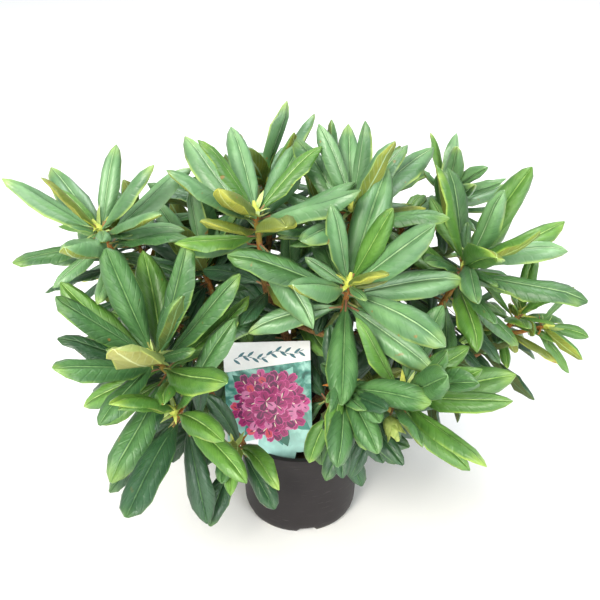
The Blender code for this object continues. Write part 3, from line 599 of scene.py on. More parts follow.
def printPicture(inks, half, slope):
    # thin prints that lie on each other over the card's face
    c, s = cardShape, pictureShape
    draws = random.Random(s["seed"])
    face = c["thickness"] / 2
    petal = flatShape("petalPrint", s["petalOutline"])
    blade = flatShape("leafPrint", s["leafOutline"])
    prints = []
    middleX, middleY = s["middle"]
    for number in range(s["leaves"]):  # leaves that fan out behind the flower head
        turn = s["leafTurn"] * number + draws.uniform(-s["leafSway"], s["leafSway"])
        length = draws.uniform(*s["leafLength"])
        x = middleX + s["leafFoot"] * math.cos(turn + math.pi / 2)
        y = middleY + s["leafFoot"] * math.sin(turn + math.pi / 2)
        tipX, tipY = x - length * math.sin(turn), y + length * math.cos(turn)
        # a leaf that would reach past the picture's edges or over the note is left out
        side, foot, band, beside, above = s["spare"]
        top = c["bandLeft"] + slope * (tipX + half) - band
        if abs(tipX) > half - side or not foot < tipY < top:
            continue
        if tipX < -half + c["noteWidth"] + beside and tipY < c["noteHeights"][1] + above:
            continue
        ink = inks[("fern", "teal", "aqua")[number % 3]]
        prints.append(laid(blade, ink, x, y, turn, length, length, face + s["leafStep"] * number))
    for number in range(s["florets"]):  # the nearest florets, in the middle, come last
        share = 1 - number / s["florets"]
        turn = s["goldenTurn"] * number
        x = middleX + s["reach"][0] * math.sqrt(share) * math.cos(turn)
        y = middleY + s["reach"][1] * math.sqrt(share) * math.sin(turn)
        lift = face + s["lift"] + s["step"] * number
        size = s["petal"] * draws.uniform(*s["petalSize"])
        first = draws.uniform(0, 6.28)
        for k in range(s["petals"]):
            name = draws.choice(("pink", "magenta", "magenta", "plum", "rose"))
            ink = inks["coral" if draws.random() < s["coralShare"] else name]
            width = size * draws.uniform(*s["petalWidth"])
            edge = inks["rose" if name in ("pink", "rose") else "pink"]
            fold = inks["magenta" if name == "plum" else "plum"]
            way, up = first + s["petalTurn"] * k, s["petalStep"] * k
            prints.append(laid(petal, edge, x, y, way, width, size, lift + up))
            prints.append(laid(petal, ink, x, y, way, width * s["inkShare"][0], size * s["inkShare"][1],
                               lift + s["inkLift"] + up))
            prints.append(laid(petal, fold, x, y, way + s["foldTurn"], size * s["foldShare"][0],
                               size * s["foldShare"][1], lift + s["foldLift"] + up))
        eye = size * s["eyeShare"]
        prints.append(laid(petal, inks["plum"], x, y, first, eye, eye, lift + s["eyeLift"]))
        for stamen in s["stamenTurns"]:
            prints.append(laid(petal, inks["cream"], x, y, first + stamen, size * s["stamenShare"][0],
                               size * s["stamenShare"][1], lift + s["stamenLift"]))
    for number in range(s["sprigLeaves"]):
        share = number / (s["sprigLeaves"] - 1)
        wave = share * s["sprigBends"]
        x = -half + s["sprigStart"] + share * (c["width"] - s["sprigSpan"])
        y = c["bandLeft"] + s["sprigRise"] + slope * (x + half) + s["sprigWave"] * math.sin(wave)
        turn = math.radians(s["sprigTurns"][number % 2])
        stalkTurn = math.radians(-90) + s["stalkSway"] * math.cos(wave)
        prints.append(laid(blade, inks["ink"], x, y, turn, *s["sprigLeaf"], face + s["leafStep"]))
        prints.append(laid(blade, inks["ink"], x, y, stalkTurn, *s["sprigStalk"], face + s["leafStep"]))
    discard(petal, blade)
    return prints


# The plant's rule: the same rows and the same draws as the solids, so each leaf grows where its solid is.
# A row is the bud's place, the whorl's heading, lean and turn, leaf length, openness of the outer and inner
# leaves, leaf count, droop of the outer and inner leaves, seed, stem length and side shoots.
foliageRows = {
    "left_top": ((-0.232, -0.014, 0.407), (-115, 5, 135), 0.130, (75, 30), 12, (10, 10), 395, 0.070, 0),
    "centre_top": ((-0.049, -0.055, 0.446), (-40, 5, 225), 0.140, (65, 35), 12, (0, 15), 278, 0.075, 0),
    "right": ((0.198, -0.015, 0.369), (-25, 25, 35), 0.150, (70, 10), 12, (0, 20), 211, 0.070, 0),
    "front_top": ((0.053, -0.101, 0.383), (-70, 25, 140), 0.145, (90, 10), 12, (20, 10), 279, 0.065, 0),
    "front_left": ((-0.161, -0.125, 0.304), (-130, 15, 255), 0.160, (65, 20), 12, (0, 0), 259, 0.055, 0),
    "right_top": ((0.058, -0.040, 0.445), (-10, 0, 70), 0.130, (60, 15), 12, (10, 40), 397, 0.070, 0),
    "front_low_left": ((-0.137, -0.160, 0.256), (-110, 15, 125), 0.145, (112, 10), 12, (45, 35), 196, 0.045, 0),
    "front_low_right": ((0.112, -0.157, 0.279), (-35, 50, 95), 0.140, (65, 10), 12, (0, 5), 53, 0.050, 0),
    "front_low": ((0.048, -0.165, 0.296), (-70, 55, 70), 0.115, (65, 10), 12, (20, 40), 126, 0.050, 0),
    "pot_left": ((-0.078, -0.115, 0.175), (-95, 55, 5), 0.105, (65, 10), 8, (45, 35), 198, 0.030, 0),
    "far_right": ((0.281, 0.038, 0.267), (40, 20, 110), 0.105, (80, 30), 11, (45, 25), 25, 0.055, 1),
    "middle": ((-0.010, 0.030, 0.300), (-95, 30, 40), 0.120, (75, 20), 10, (15, 20), 41, 0.050, 0),
    "mid_left": ((-0.124, 0.062, 0.323), (205, 20, -15), 0.135, (65, 15), 11, (5, 5), 158, 0.060, 0),
    "mid_top": ((-0.046, 0.119, 0.417), (145, 35, 350), 0.125, (70, 45), 12, (5, 35), 111, 0.065, 0),
    "mid_right": ((0.135, 0.120, 0.356), (100, 20, 110), 0.105, (75, 40), 11, (10, 40), 113, 0.060, 0),
    "far_right_top": ((0.194, 0.144, 0.389), (15, 25, 280), 0.105, (65, 35), 12, (0, 5), 213, 0.060, 0),
    "back_left": ((-0.090, 0.165, 0.365), (130, 20, 40), 0.130, (80, 20), 11, (10, 25), 21, 0.065, 1),
    "back_right": ((0.060, 0.185, 0.360), (70, 20, 200), 0.135, (80, 20), 11, (10, 25), 22, 0.065, 1),
    "left_back": ((-0.215, 0.110, 0.335), (155, 25, 100), 0.125, (85, 20), 11, (15, 25), 23, 0.060, 1),
    "back_low": ((-0.015, 0.240, 0.270), (90, 35, 20), 0.130, (95, 25), 11, (25, 25), 54, 0.050, 0),
    "back_low_left": ((-0.150, 0.205, 0.250), (125, 35, 300), 0.130, (100, 25), 11, (30, 25), 26, 0.050, 1),
    "back_low_right": ((0.150, 0.220, 0.255), (55, 35, 140), 0.130, (100, 25), 11, (30, 25), 27, 0.050, 1),
    "low_left": ((-0.205, 0.070, 0.235), (165, 35, 60), 0.125, (100, 25), 10, (30, 20), 28, 0.045, 0),
    "low_right": ((0.215, 0.095, 0.235), (25, 35, 250), 0.125, (100, 25), 10, (30, 20), 31, 0.045, 0),
    "back_top": ((0.030, 0.085, 0.385), (60, 10, 85), 0.115, (65, 20), 10, (5, 20), 30, 0.060, 0),
}
lowerWhorls = ("left_top", "centre_top", "right", "front_top", "front_left", "right_top", "mid_left",
               "back_low", "low_left", "low_right")
sparseMasses = ("front_low_left", "pot_left", "front_low_right")  # none of the extra leaves
openMasses = ("centre_top", "front_top")  # their stems show, so only the small extra leaves
mainBoughs = {"bough_left": ("left_top", 0.48, 0.6), "bough_front": ("centre_top", 0.99, 1.2),
              "bough_right": ("right", 0.34, 0.6), "bough_back_left": ("back_left", 0.20, 0.4),
              "bough_back_right": ("back_right", 0.64, 0.5)}
sideBoughs = {
    "front_left": ("bough_left", 0.62), "front_low_left": ("bough_left", 0.52),
    "low_left": ("bough_left", 0.46), "mid_left": ("bough_back_left", 0.30),
    "front_top": ("bough_front", 0.62), "middle": ("bough_front", 0.30),
    "front_low": ("bough_right", 0.16), "pot_left": ("side_bough_front_low_left", 0.40),
    "right_top": ("bough_front", 0.78), "front_low_right": ("bough_right", 0.32),
    "far_right": ("bough_right", 0.60), "low_right": ("bough_right", 0.42),
    "mid_top": ("bough_back_left", 0.74),
    "left_back": ("bough_back_left", 0.50), "back_low_left": ("bough_back_left", 0.18),
    "back_low": ("bough_back_right", 0.36), "back_low_right": ("bough_back_right", 0.22),
    "mid_right": ("bough_back_right", 0.50), "far_right_top": ("bough_back_right", 0.66),
    "back_top": ("bough_back_right", 0.82),
}
limbRule = {
    "soilTop": 0.1133, "trunkHeight": 0.060, "trunkLean": (0.004, 0.003), "gap": 0.0003,
    "trunkRadii": ((0.0, 0.0150), (0.10, 0.0118), (0.28, 0.0100), (0.60, 0.0092), (1.0, 0.0086)),
    "main": (0.0058, 0.0046), "side": (0.0044, 0.0038), "stem": (0.0037, 0.0032), "shoot": (0.0030, 0.0025),
    "step": 0.040, "straightEnd": 0.004, "bendReach": 0.36, "keepRising": 0.5,
    "crownFoot": Vector((0.0, 0.0, 0.120)), "rise": 0.6,
    "shootStart": 0.40, "shootSpacing": 0.15, "shootLean": 1.1, "shootOut": 0.030, "shootUp": 0.026,
    "shootRise": Vector((0.0, 0.0, 0.5)), "testSides": 6, "testSpare": 0.0004,
}
whorlRule = {
    "golden": math.radians(137.508), "depth": 0.024, "steps": 6, "aspect": 0.26, "longestAt": 0.45,
    "shortening": 0.44, "turn": math.radians(12), "open": math.radians(9), "length": 0.10, "width": 0.12,
    "bend": 0.5, "bendGrip": 1.2,
    "tries": 9, "tryTurn": math.radians(9), "shrink": 0.02, "pastOwn": 3, "clearance": 0.0008,
    "lowerAt": 0.62, "lowerDepth": 0.012, "lowerLeaves": 4, "lowerLength": 0.9, "lowerOpen": (95, 75),
    "lowerDroop": (25, 15), "lowerTurn": 70, "lowerSeed": 60,
    "sideLeaves": 6, "sideLength": 0.80, "sideTurn": 7, "sideSeed": 40,
}


class Limb:
    def __init__(self, path, radii):
        self.path = path
        lengths = [0.0]
        for a, b in zip(path, path[1:]):
            lengths.append(lengths[-1] + (b - a).length)
        self.length = lengths[-1]
        self.shares = [length / self.length for length in lengths]
        if len(radii) == 2:
            radii = [radii[0] + (radii[1] - radii[0]) * share for share in self.shares]
        self.radii = radii

    def at(self, share):
        for i in range(len(self.path) - 1):
            if share <= self.shares[i + 1] or i == len(self.path) - 2:
                span = self.shares[i + 1] - self.shares[i]
                place = self.path[i].lerp(self.path[i + 1], (share - self.shares[i]) / span)
                return place, (self.path[i + 1] - self.path[i]).normalized()

    def radiusAt(self, share):
        return float(np.interp(share, self.shares, self.radii))


def bentPath(start, leave, end, arrive):
    reach = (end - start).length
    first = start + leave * reach * limbRule["bendReach"]
    second = end - arrive * reach * limbRule["bendReach"]
    count = max(3, round(reach / limbRule["step"]))
    points = []
    for i in range(count + 1):
        t = i / count
        near = start * (1 - t) ** 3 + first * 3 * t * (1 - t) ** 2
        far = second * 3 * t * t * (1 - t) + end * t ** 3
        points.append(near + far)
    points.insert(-1, end - arrive * limbRule["straightEnd"])
    return points


def stemDirection(bud):
    outward = (bud - limbRule["crownFoot"]).normalized()
    return (outward + Vector((0.0, 0.0, limbRule["rise"]))).normalized()


def stemFoot(row):
    bud = Vector(row[0])
    return bud - stemDirection(bud) * row[7]


def boughTo(row, parent, share, rising, radii):
    start, along = parent.at(share)
    end = stemFoot(row)
    arrive = stemDirection(Vector(row[0]))
    leave = (along * rising + (end - start).normalized()).normalized()
    return Limb(bentPath(start, leave, end - arrive * limbRule["gap"], arrive), radii)


def growLimbs():
    s = limbRule
    foot = Vector((0.0, 0.0, s["soilTop"]))
    lean = Vector((*s["trunkLean"], 0.0))
    path, radii = [], []
    for share, radius in s["trunkRadii"]:
        path.append(foot + Vector((0.0, 0.0, s["trunkHeight"] * share)) + lean * share * share)
        radii.append(radius)
    limbs = {"main_stem": Limb(path, radii)}
    for name, (mass, share, rising) in mainBoughs.items():
        limbs[name] = boughTo(foliageRows[mass], limbs["main_stem"], share, rising, s["main"])
    for mass, (parent, share) in sideBoughs.items():
        bough = boughTo(foliageRows[mass], limbs[parent], share, s["keepRising"], s["side"])
        limbs["side_bough_" + mass] = bough
    return limbs


def growStem(row):
    s = limbRule
    bud = Vector(row[0])
    along = stemDirection(bud)
    stem = Limb(bentPath(stemFoot(row), along, bud, along), s["stem"])
    draws = random.Random(row[6] + 500)
    turn = draws.uniform(0, 2 * math.pi)
    shoots = []
    for number in range(row[8]):
        start, along = stem.at(s["shootStart"] + s["shootSpacing"] * number)
        across = along.orthogonal().normalized()
        out = Matrix.Rotation(turn + whorlRule["golden"] * number, 3, along) @ across
        leave = (along + out * s["shootLean"]).normalized()
        end = start + leave * s["shootOut"] + (leave + s["shootRise"]).normalized() * s["shootUp"]
        shoots.append(Limb(bentPath(start, leave, end, (end - start).normalized()), s["shoot"]))
    return stem, shoots


def leafPath(foot, direction, length, bend):
    steps = whorlRule["steps"]
    points = [foot.copy()]
    for _ in range(steps):
        axis = direction.cross(Vector((0.0, 0.0, -1.0)))
        size = axis.length
        if size >= 0.0001:
            turn = bend / steps * min(1.0, size * whorlRule["bendGrip"])
            direction = Matrix.Rotation(turn, 3, axis / size) @ direction
        foot = foot + direction * length / steps
        points.append(foot.copy())
    return points


# the way across a blade: square to the whorl's axis at first, then carried along the path
def bladeSide(tangent, axis, lastSide):
    if lastSide:
        return (lastSide - tangent * lastSide.dot(tangent)).normalized()
    side = tangent.cross(axis)
    return side.normalized() if side.length > 0.02 else tangent.orthogonal().normalized()


# the plain three-sided leaf of the solids, for the tests: half widths and the roll as shares of half its width
hullShape = {
    "foot": (0.0017, 0.0014, 0.0014), "broadAt": 0.42, "narrowAt": 0.76, "narrow": 0.84, "roll": 0.17,
    "thick": 0.0004, "bladeFrom": 0.30, "bladeFoot": 0.7,
}


def leafHull(path, axis, width, spare=0.0, bladeOnly=False):
    s = hullShape
    steps = whorlRule["steps"]
    half = width / 2
    thick, roll = s["thick"], half * s["roll"]
    rings = [(0.0, *s["foot"]), (s["broadAt"], half, thick, roll),
             (s["narrowAt"], half * s["narrow"], thick, roll)]
    if bladeOnly:
        rings[0] = (s["bladeFrom"], half * s["bladeFoot"], thick, thick)
    verts = []
    side = None
    for share, reach, rise, down in rings:
        i = min(int(share * steps), steps - 1)
        place = path[i].lerp(path[i + 1], share * steps - i)
        tangent = (path[i + 1] - path[i]).normalized()
        side = bladeSide(tangent, axis, side)
        normal = side.cross(tangent)
        verts.append(place - side * (reach + spare) - normal * (down + spare))
        verts.append(place + normal * (rise + spare))
        verts.append(place + side * (reach + spare) - normal * (down + spare))
    verts.append(path[-1] + (path[-1] - path[-2]).normalized() * spare)
    faces = [(2, 1, 0)]
    for base in (0, 3):
        for k in range(3):
            n = (k + 1) % 3
            faces.append((base + k, base + n, base + 3 + n))
            faces.append((base + k, base + 3 + n, base + 3 + k))
    faces += [(6 + k, 6 + (k + 1) % 3, 9) for k in range(3)]
    return verts, faces


class Obstacles:
    def __init__(self):
        self.entries = []

    def add(self, owner, verts, faces):
        centre = sum(verts, Vector()) / len(verts)
        radius = max((v - centre).length for v in verts)
        self.entries.append((owner, centre, radius, BVHTree.FromPolygons(verts, faces)))

    def hit(self, owner, verts, faces, own=False):
        centre = sum(verts, Vector()) / len(verts)
        radius = max((v - centre).length for v in verts)
        tree = None
        for other, place, reach, otherTree in self.entries:
            if (other == owner) != own or (place - centre).length > reach + radius:
                continue
            if tree is None:
                tree = BVHTree.FromPolygons(verts, faces)
            if tree.overlap(otherTree):
                return True
        return False


def addLimbTo(obstacles, name, limb):
    sides, spare = limbRule["testSides"], limbRule["testSpare"]
    verts, faces = [], []
    for i, (place, radius) in enumerate(zip(limb.path, limb.radii)):
        _, along = limb.at(min(limb.shares[i] + 0.001, 1.0))
        side = along.orthogonal().normalized()
        up = along.cross(side)
        for k in range(sides):
            angle = 2 * math.pi * k / sides
            verts.append(place + (side * math.cos(angle) + up * math.sin(angle)) * (radius + spare))
        if i:
            base = (i - 1) * sides
            for k in range(sides):
                n = (k + 1) % sides
                faces.append((base + k, base + n, base + sides + n, base + sides + k))
    obstacles.add(name, verts, faces)


def growWhorl(owner, stem, whorl, obstacles, blades):
    # whorl: heading, lean, turn, length, openness, count, droop, seed, depth
    r = whorlRule
    heading, lean, turned, length, openness, count, droop, seed, depth = whorl
    h, l = math.radians(heading), math.radians(lean)
    axis = Vector((math.sin(l) * math.cos(h), math.sin(l) * math.sin(h), math.cos(l)))
    across = axis.cross(Vector((0.0, 0.0, 1.0)))
    across = across.normalized() if l > 0.001 else Vector((1.0, 0.0, 0.0))
    up = axis.cross(across)
    draws = random.Random(seed)
    spareDraws = random.Random(seed + 1000)
    leaves = []
    for k in range(count):
        share = k / (count - 1)
        j = [draws.uniform(-1, 1) for _ in range(4)]
        widthDraw = spareDraws.uniform(-1, 1)
        azimuth = math.radians(turned) + r["golden"] * k + r["turn"] * j[0]
        opened = math.radians(openness[0] + (openness[1] - openness[0]) * share) + r["open"] * j[1]
        reach = length * (1 - r["shortening"] * abs(share - r["longestAt"]) + r["length"] * j[2])
        bend = math.radians(droop[0] + (droop[1] - droop[0]) * share) * (1 + r["bend"] * j[3])
        foot, _ = stem.at(1 - depth * (1 - share) / stem.length)
        for attempt in range(r["tries"]):
            size = 1 - r["shrink"] * attempt
            a = azimuth + spareDraws.uniform(-1, 1) * r["tryTurn"] * attempt
            o = opened + spareDraws.uniform(-1, 1) * r["tryTurn"] * attempt
            direction = math.cos(o) * axis + math.sin(o) * (math.cos(a) * across + math.sin(a) * up)
            path = leafPath(foot, direction, reach * size, bend)
            width = reach * size * r["aspect"] * (1 + r["width"] * widthDraw)
            fat, faces = leafHull(path, axis, width, r["clearance"])
            blade, bladeFaces = leafHull(path, axis, width, 0.0, True)
            if obstacles.hit(owner, fat, faces):
                continue
            crowded = blades.hit(owner, blade, bladeFaces, own=True)
            if crowded and attempt < r["tries"] - r["pastOwn"]:
                continue
            blades.add(owner, blade, bladeFaces)
            leaves.append({"mass": owner, "path": path, "axis": axis, "width": width, "share": share,
                           "length": reach * size, "number": k})
            break
    for leaf in leaves:
        obstacles.add(owner, *leafHull(leaf["path"], axis, leaf["width"]))
    return leaves


# single leaves on a bough beside the card: place along the bough, direction, length and kind
loneLeaves = (
    ("side_bough_front_low", 0.30, (-0.75, -0.05, -0.45), 0.080, "mid"),
    ("side_bough_front_low", 0.34, (-0.55, 0.20, 0.75), 0.085, "dark"),
    ("side_bough_front_low", 0.16, (-0.20, 0.10, 0.95), 0.090, "dark"),
    ("side_bough_front_low", 0.55, (-0.18, -0.32, -0.85), 0.075, "mid"),
    ("side_bough_front_low", 0.72, (-0.30, -0.20, -0.60), 0.070, "bright"),
    ("bough_left", 0.30, (-0.60, -0.25, -0.55), 0.100, "mid"),
    ("bough_left", 0.42, (-0.22, -0.20, -0.90), 0.105, "dark"),
)

# the blank of a blade, two wide and one long
leafShape = {
    # across the blade: a grooved midrib, a swelling half on each side and a rim that rolls down
    "across": (-1.0, -0.86, -0.46, -0.048, 0.048, 0.46, 0.86, 1.0),
    "rise": (-0.46, -0.14, 0.05, -0.10, -0.10, 0.05, -0.14, -0.46),
    # how far along the blade each row lies, and its share of the full width there
    "along": (0.0, 0.10, 0.22, 0.37, 0.54, 0.70, 0.83, 0.94, 1.0),
    "outline": (0.10, 0.15, 0.52, 0.87, 1.0, 0.97, 0.79, 0.45, 0.06),
    "underRib": -0.10,
}
# older leaves are broadest past the middle, with a blunter tip
bluntKinds = ("mid", "dark")
bluntOutline = (0.10, 0.14, 0.45, 0.79, 0.97, 1.0, 0.88, 0.60, 0.12)
bractShape = {
    "across": (-1.0, -0.35, 0.35, 1.0), "rise": (-0.16, 0.05, 0.05, -0.16),
    "along": (0.0, 0.25, 0.50, 0.75, 1.0), "outline": (0.55, 0.95, 1.0, 0.66, 0.06), "underRib": -0.16,
}

# Each mass: what its upper leaves are like. The first kind is for the leaves round the bud, the last for the
# oldest ones. A leaf's kind is a whole colour, as on the shrub, where each flush of growth has its own green.
massKinds = {
    "left_top": ("young", "young", "mid"), "centre_top": ("bright", "young", "young"),
    "right": ("young", "bright", "mid"), "front_top": ("bright", "young", "mid"),
    "front_left": ("mid", "mid", "bright"), "right_top": ("young", "young", "mid"),
    "front_low_left": ("bright", "bright", "dark"), "front_low_right": ("bright", "bright", "mid"),
    "front_low": ("mid", "mid", "dark"), "pot_left": ("bright", "mid", "dark"),
    "far_right": ("bright", "bright", "bright"), "middle": ("bright", "mid", "dark"),
    "mid_left": ("young", "mid", "dark"), "mid_top": ("young", "young", "mid"),
    "mid_right": ("bright", "mid", "dark"), "far_right_top": ("young", "young", "mid"),
}
# single leaves of a whorl, by their number in it, that have a green of their own on the shrub
ownKinds = {
    "front_left": {7: "pale", 1: "dark", 6: "bright"},
    "front_low_left": {0: "dark", 1: "dark", 2: "dark", 3: "bright", 5: "dark", 6: "mid", 7: "dark",
                       8: "bright"},
    "front_low_right": {0: "bright", 3: "bright", 5: "bright", 7: "mid", 10: "mid"},
    "front_top": {2: "mid", 3: "young", 10: "olive"},
    "centre_top": {4: "olive", 9: "olive"},
    "front_low": {3: "dark", 10: "bright"},
    "pot_left": {1: "dark", 3: "dark", 4: "bright"},
}
# leaves of a whorl whose stalk has turned them over, so that their upper side faces outward
turnedLeaves = {
    "front_low_right": (4, 6, 7, 10), "right": (5, 10), "mid_top": (10,), "mid_right": (6, 9),
    "far_right": (7, 9), "far_right_top": (0, 3, 6, 8, 11),
}
leafInks = {
    # top, its lighter veins, a deeper green for clouds and for the painted shade along the midrib and the
    # rolled rim, midrib, rim, underside and its golden patches
    "young": ("#6b9a62", "#93b98a", "#2f5c38", "#b9d5a8", "#adc76c", "#6f8339", "#8c943e"),
    "bright": ("#568730", "#79a64c", "#2c5d24", "#b2d183", "#a2c04e", "#6f8436", "#8f963d"),
    "mid": ("#46743d", "#669456", "#204a29", "#8db178", "#85a84c", "#5f763a", "#79823e"),
    "dark": ("#28502f", "#3e6643", "#193a22", "#668a5e", "#577e40", "#4e6236", "#616a3c"),
    "olive": ("#6c7d2b", "#83923e", "#515e22", "#bcc67c", "#c9cb52", "#8d963a", "#a9a848"),
    "pale": ("#9dab5f", "#b4bd7a", "#7d8e45", "#cbd19a", "#b9c266", "#8f8f4d", "#a8a864"),
}
# for each kind: roughness, wax, how much paler the side veins are and how deep they lie (mm)
leafSurface = {
    "young": (0.43, 0.28, 0.24, 0.9), "bright": (0.47, 0.20, 0.34, 1.3), "mid": (0.46, 0.14, 0.40, 1.6),
    "dark": (0.42, 0.12, 0.34, 1.4), "olive": (0.48, 0.15, 0.30, 1.0), "pale": (0.5, 0.1, 0.30, 1.4),
}
# how far a blade of each kind rolls down, and how wavy it is
bladeManner = {"young": (1.55, 0.10), "bright": (1.15, 0.13), "mid": (1.15, 0.13), "dark": (0.85, 0.18),
               "olive": (1.3, 0.12), "pale": (1.25, 0.2)}


def bladeLines(tree):
    # how far a spot is off the midrib and along the blade, and the side veins: eleven, about 12 mm apart,
    # which run forward from the midrib
    plane = addNode(tree, "SeparateXYZ", (addNode(tree, "UVMap"),)).outputs
    offset = addNode(tree, "Math", (plane["X"], 0.5), operation="SUBTRACT")
    off = addNode(tree, "Math", (offset,), operation="ABSOLUTE")
    rows = addNode(tree, "Math", (plane["Y"], 11.0), **times)
    forward = addNode(tree, "Math", (off, 4.6), **times)
    phase = addNode(tree, "Math", (rows, forward), operation="SUBTRACT")
    wave = addNode(tree, "Math", (phase, 0.5), operation="PINGPONG")
    return off, plane["Y"], addNode(tree, "MapRange", (wave, 0.0, 0.16, 1.0, 0.0), **eased)


def thinSkin(name, ink, second, roughness=0.5, scale=240.0):
    # the skin of stalks, ribs, scales and bracts: soft, half matt, its colour drifting over a few millimetres
    material, tree, shader = newMaterial(name, ink, roughness, {"Specular IOR Level": 0.4})
    cloud = addNode(tree, "TexNoise", (addNode(tree, "TexCoord").outputs["Object"], scale, 3.0))
    share = addNode(tree, "MapRange", (cloud, 0.38, 0.66, 0.0, 0.8), **eased)
    colour = addNode(tree, "Mix", (share, ink, second), **colours)
    bump = addNode(tree, "Bump", {"Height": cloud, "Strength": 0.25, "Distance": 0.0004})
    setInputs(shader, {"Base Color": colour, "Normal": bump})
    return material


def leafTop(kind):
    # thick evergreen leaf: a waxy top with a soft bluish sheen and sunken side veins
    top, vein, deepGreenAndShade, _, rim, _, _ = leafInks[kind]
    rough, coat, veinShare, relief = leafSurface[kind]
    wax = {"Coat Weight": coat, "Coat Roughness": 0.34, "Specular IOR Level": 0.6}
    blade, tree, shader = newMaterial("waxyLeafTop" + kind.capitalize(), top, rough, wax)
    off, along, veins = bladeLines(tree)
    place = addNode(tree, "TexCoord").outputs["Object"]
    # noises some 90, 45, 26, 13 and 6 mm across
    sizes = ((11.0, 2.0), (22.0, 1.0), (38.0, 3.0), (75.0, 2.0), (160.0, 2.0))
    broad, stretches, cloud, spots, pucker = [addNode(tree, "TexNoise", (place, *size)) for size in sizes]
    drift = addNode(tree, "MapRange", (cloud, 0.35, 0.72, 0.0, 0.55), **eased)
    palerVeins = addNode(tree, "Math", (veins, veinShare), **times)
    veined = addNode(tree, "Math", (palerVeins, drift), operation="MAXIMUM")
    clouded = addNode(tree, "MapRange", (broad, 0.40, 0.64, 0.0, 0.42), **eased)
    # painted shade: the rolled-down rim and the groove beside the midrib are darkened in the colour
    rolledRimShade = addNode(tree, "MapRange", (off, 0.28, 0.47, 0.0, 0.38), **eased)
    ribGrooveShade = addNode(tree, "MapRange", (off, 0.026, 0.066, 0.85, 0.0), **eased)
    yellowed = addNode(tree, "MapRange", (stretches, 0.46, 0.64, 0.10, 0.9), **eased)
    nearTip = addNode(tree, "MapRange", (along, 0.82, 1.0, 0.0, 0.75), **eased)
    nearRim = addNode(tree, "MapRange", (off, 0.465, 0.496, 0.0, 0.9), **eased)
    scorched = addNode(tree, "MapRange", (spots, 0.70, 0.74, 0.0, 0.8), **eased)
    outward = addNode(tree, "MapRange", (off, 0.20, 0.46, 0.15, 1.0), **eased)
    layers = (
        (veined, vein), (clouded, deepGreenAndShade),  # paler veins, and clouds of a deeper green
        (rolledRimShade, deepGreenAndShade), (ribGrooveShade, deepGreenAndShade),  # painted shade: a deeper green where the blade rolls down and in the groove along the midrib
        (addNode(tree, "Math", (nearTip, yellowed), **times), rim),  # the tip and rim yellow in stretches
        (addNode(tree, "Math", (nearRim, yellowed), **times), rim),
        (addNode(tree, "Math", (scorched, outward), **times), "#8c6a2e"),  # brown spots, most near the rim
    )
    colour = top
    for share, ink in layers:
        colour = addNode(tree, "Mix", (share, colour, ink), **colours)
    sunken = addNode(tree, "Math", (veins, -0.36), **times)
    quilt = addNode(tree, "Math", (sunken, pucker), operation="ADD")
    bump = addNode(tree, "Bump", {"Height": quilt, "Strength": 0.65, "Distance": relief / 1000})
    setInputs(shader, {"Base Color": colour, "Normal": bump})
    return blade


def leafUnderside(kind):
    # dull, olive to golden in patches some 35 mm across, with a paler rib and veins and a yellow rim
    _, _, _, rib, rim, under, gold = leafInks[kind]
    name = "leafUnderside" + kind.capitalize()
    below, tree, shader = newMaterial(name, under, 0.7, {"Specular IOR Level": 0.25})
    off, _, veins = bladeLines(tree)
    cloud = addNode(tree, "TexNoise", (addNode(tree, "TexCoord").outputs["Object"], 30.0, 3.0))
    layers = (
        (addNode(tree, "MapRange", (cloud, 0.35, 0.65, 0.0, 1.0), **eased), gold),
        (addNode(tree, "Math", (veins, 0.22), **times), rib),
        (addNode(tree, "MapRange", (off, 0.018, 0.050, 0.85, 0.0), **eased), rib),
        (addNode(tree, "MapRange", (off, 0.45, 0.49, 0.0, 0.8), **eased), rim),
    )
    colour = under
    for share, ink in layers:
        colour = addNode(tree, "Mix", (share, colour, ink), **colours)
    bump = addNode(tree, "Bump", {"Height": veins, "Strength": 0.5, "Distance": 0.0008})
    setInputs(shader, {"Base Color": colour, "Normal": bump})
    return below


def leafCuticle(kind):
    _, vein, _, rib, _, _, _ = leafInks[kind]
    midrib = thinSkin("leafMidrib" + kind.capitalize(), rib, vein, 0.5, 90.0)
    return [leafTop(kind), midrib, leafUnderside(kind)]


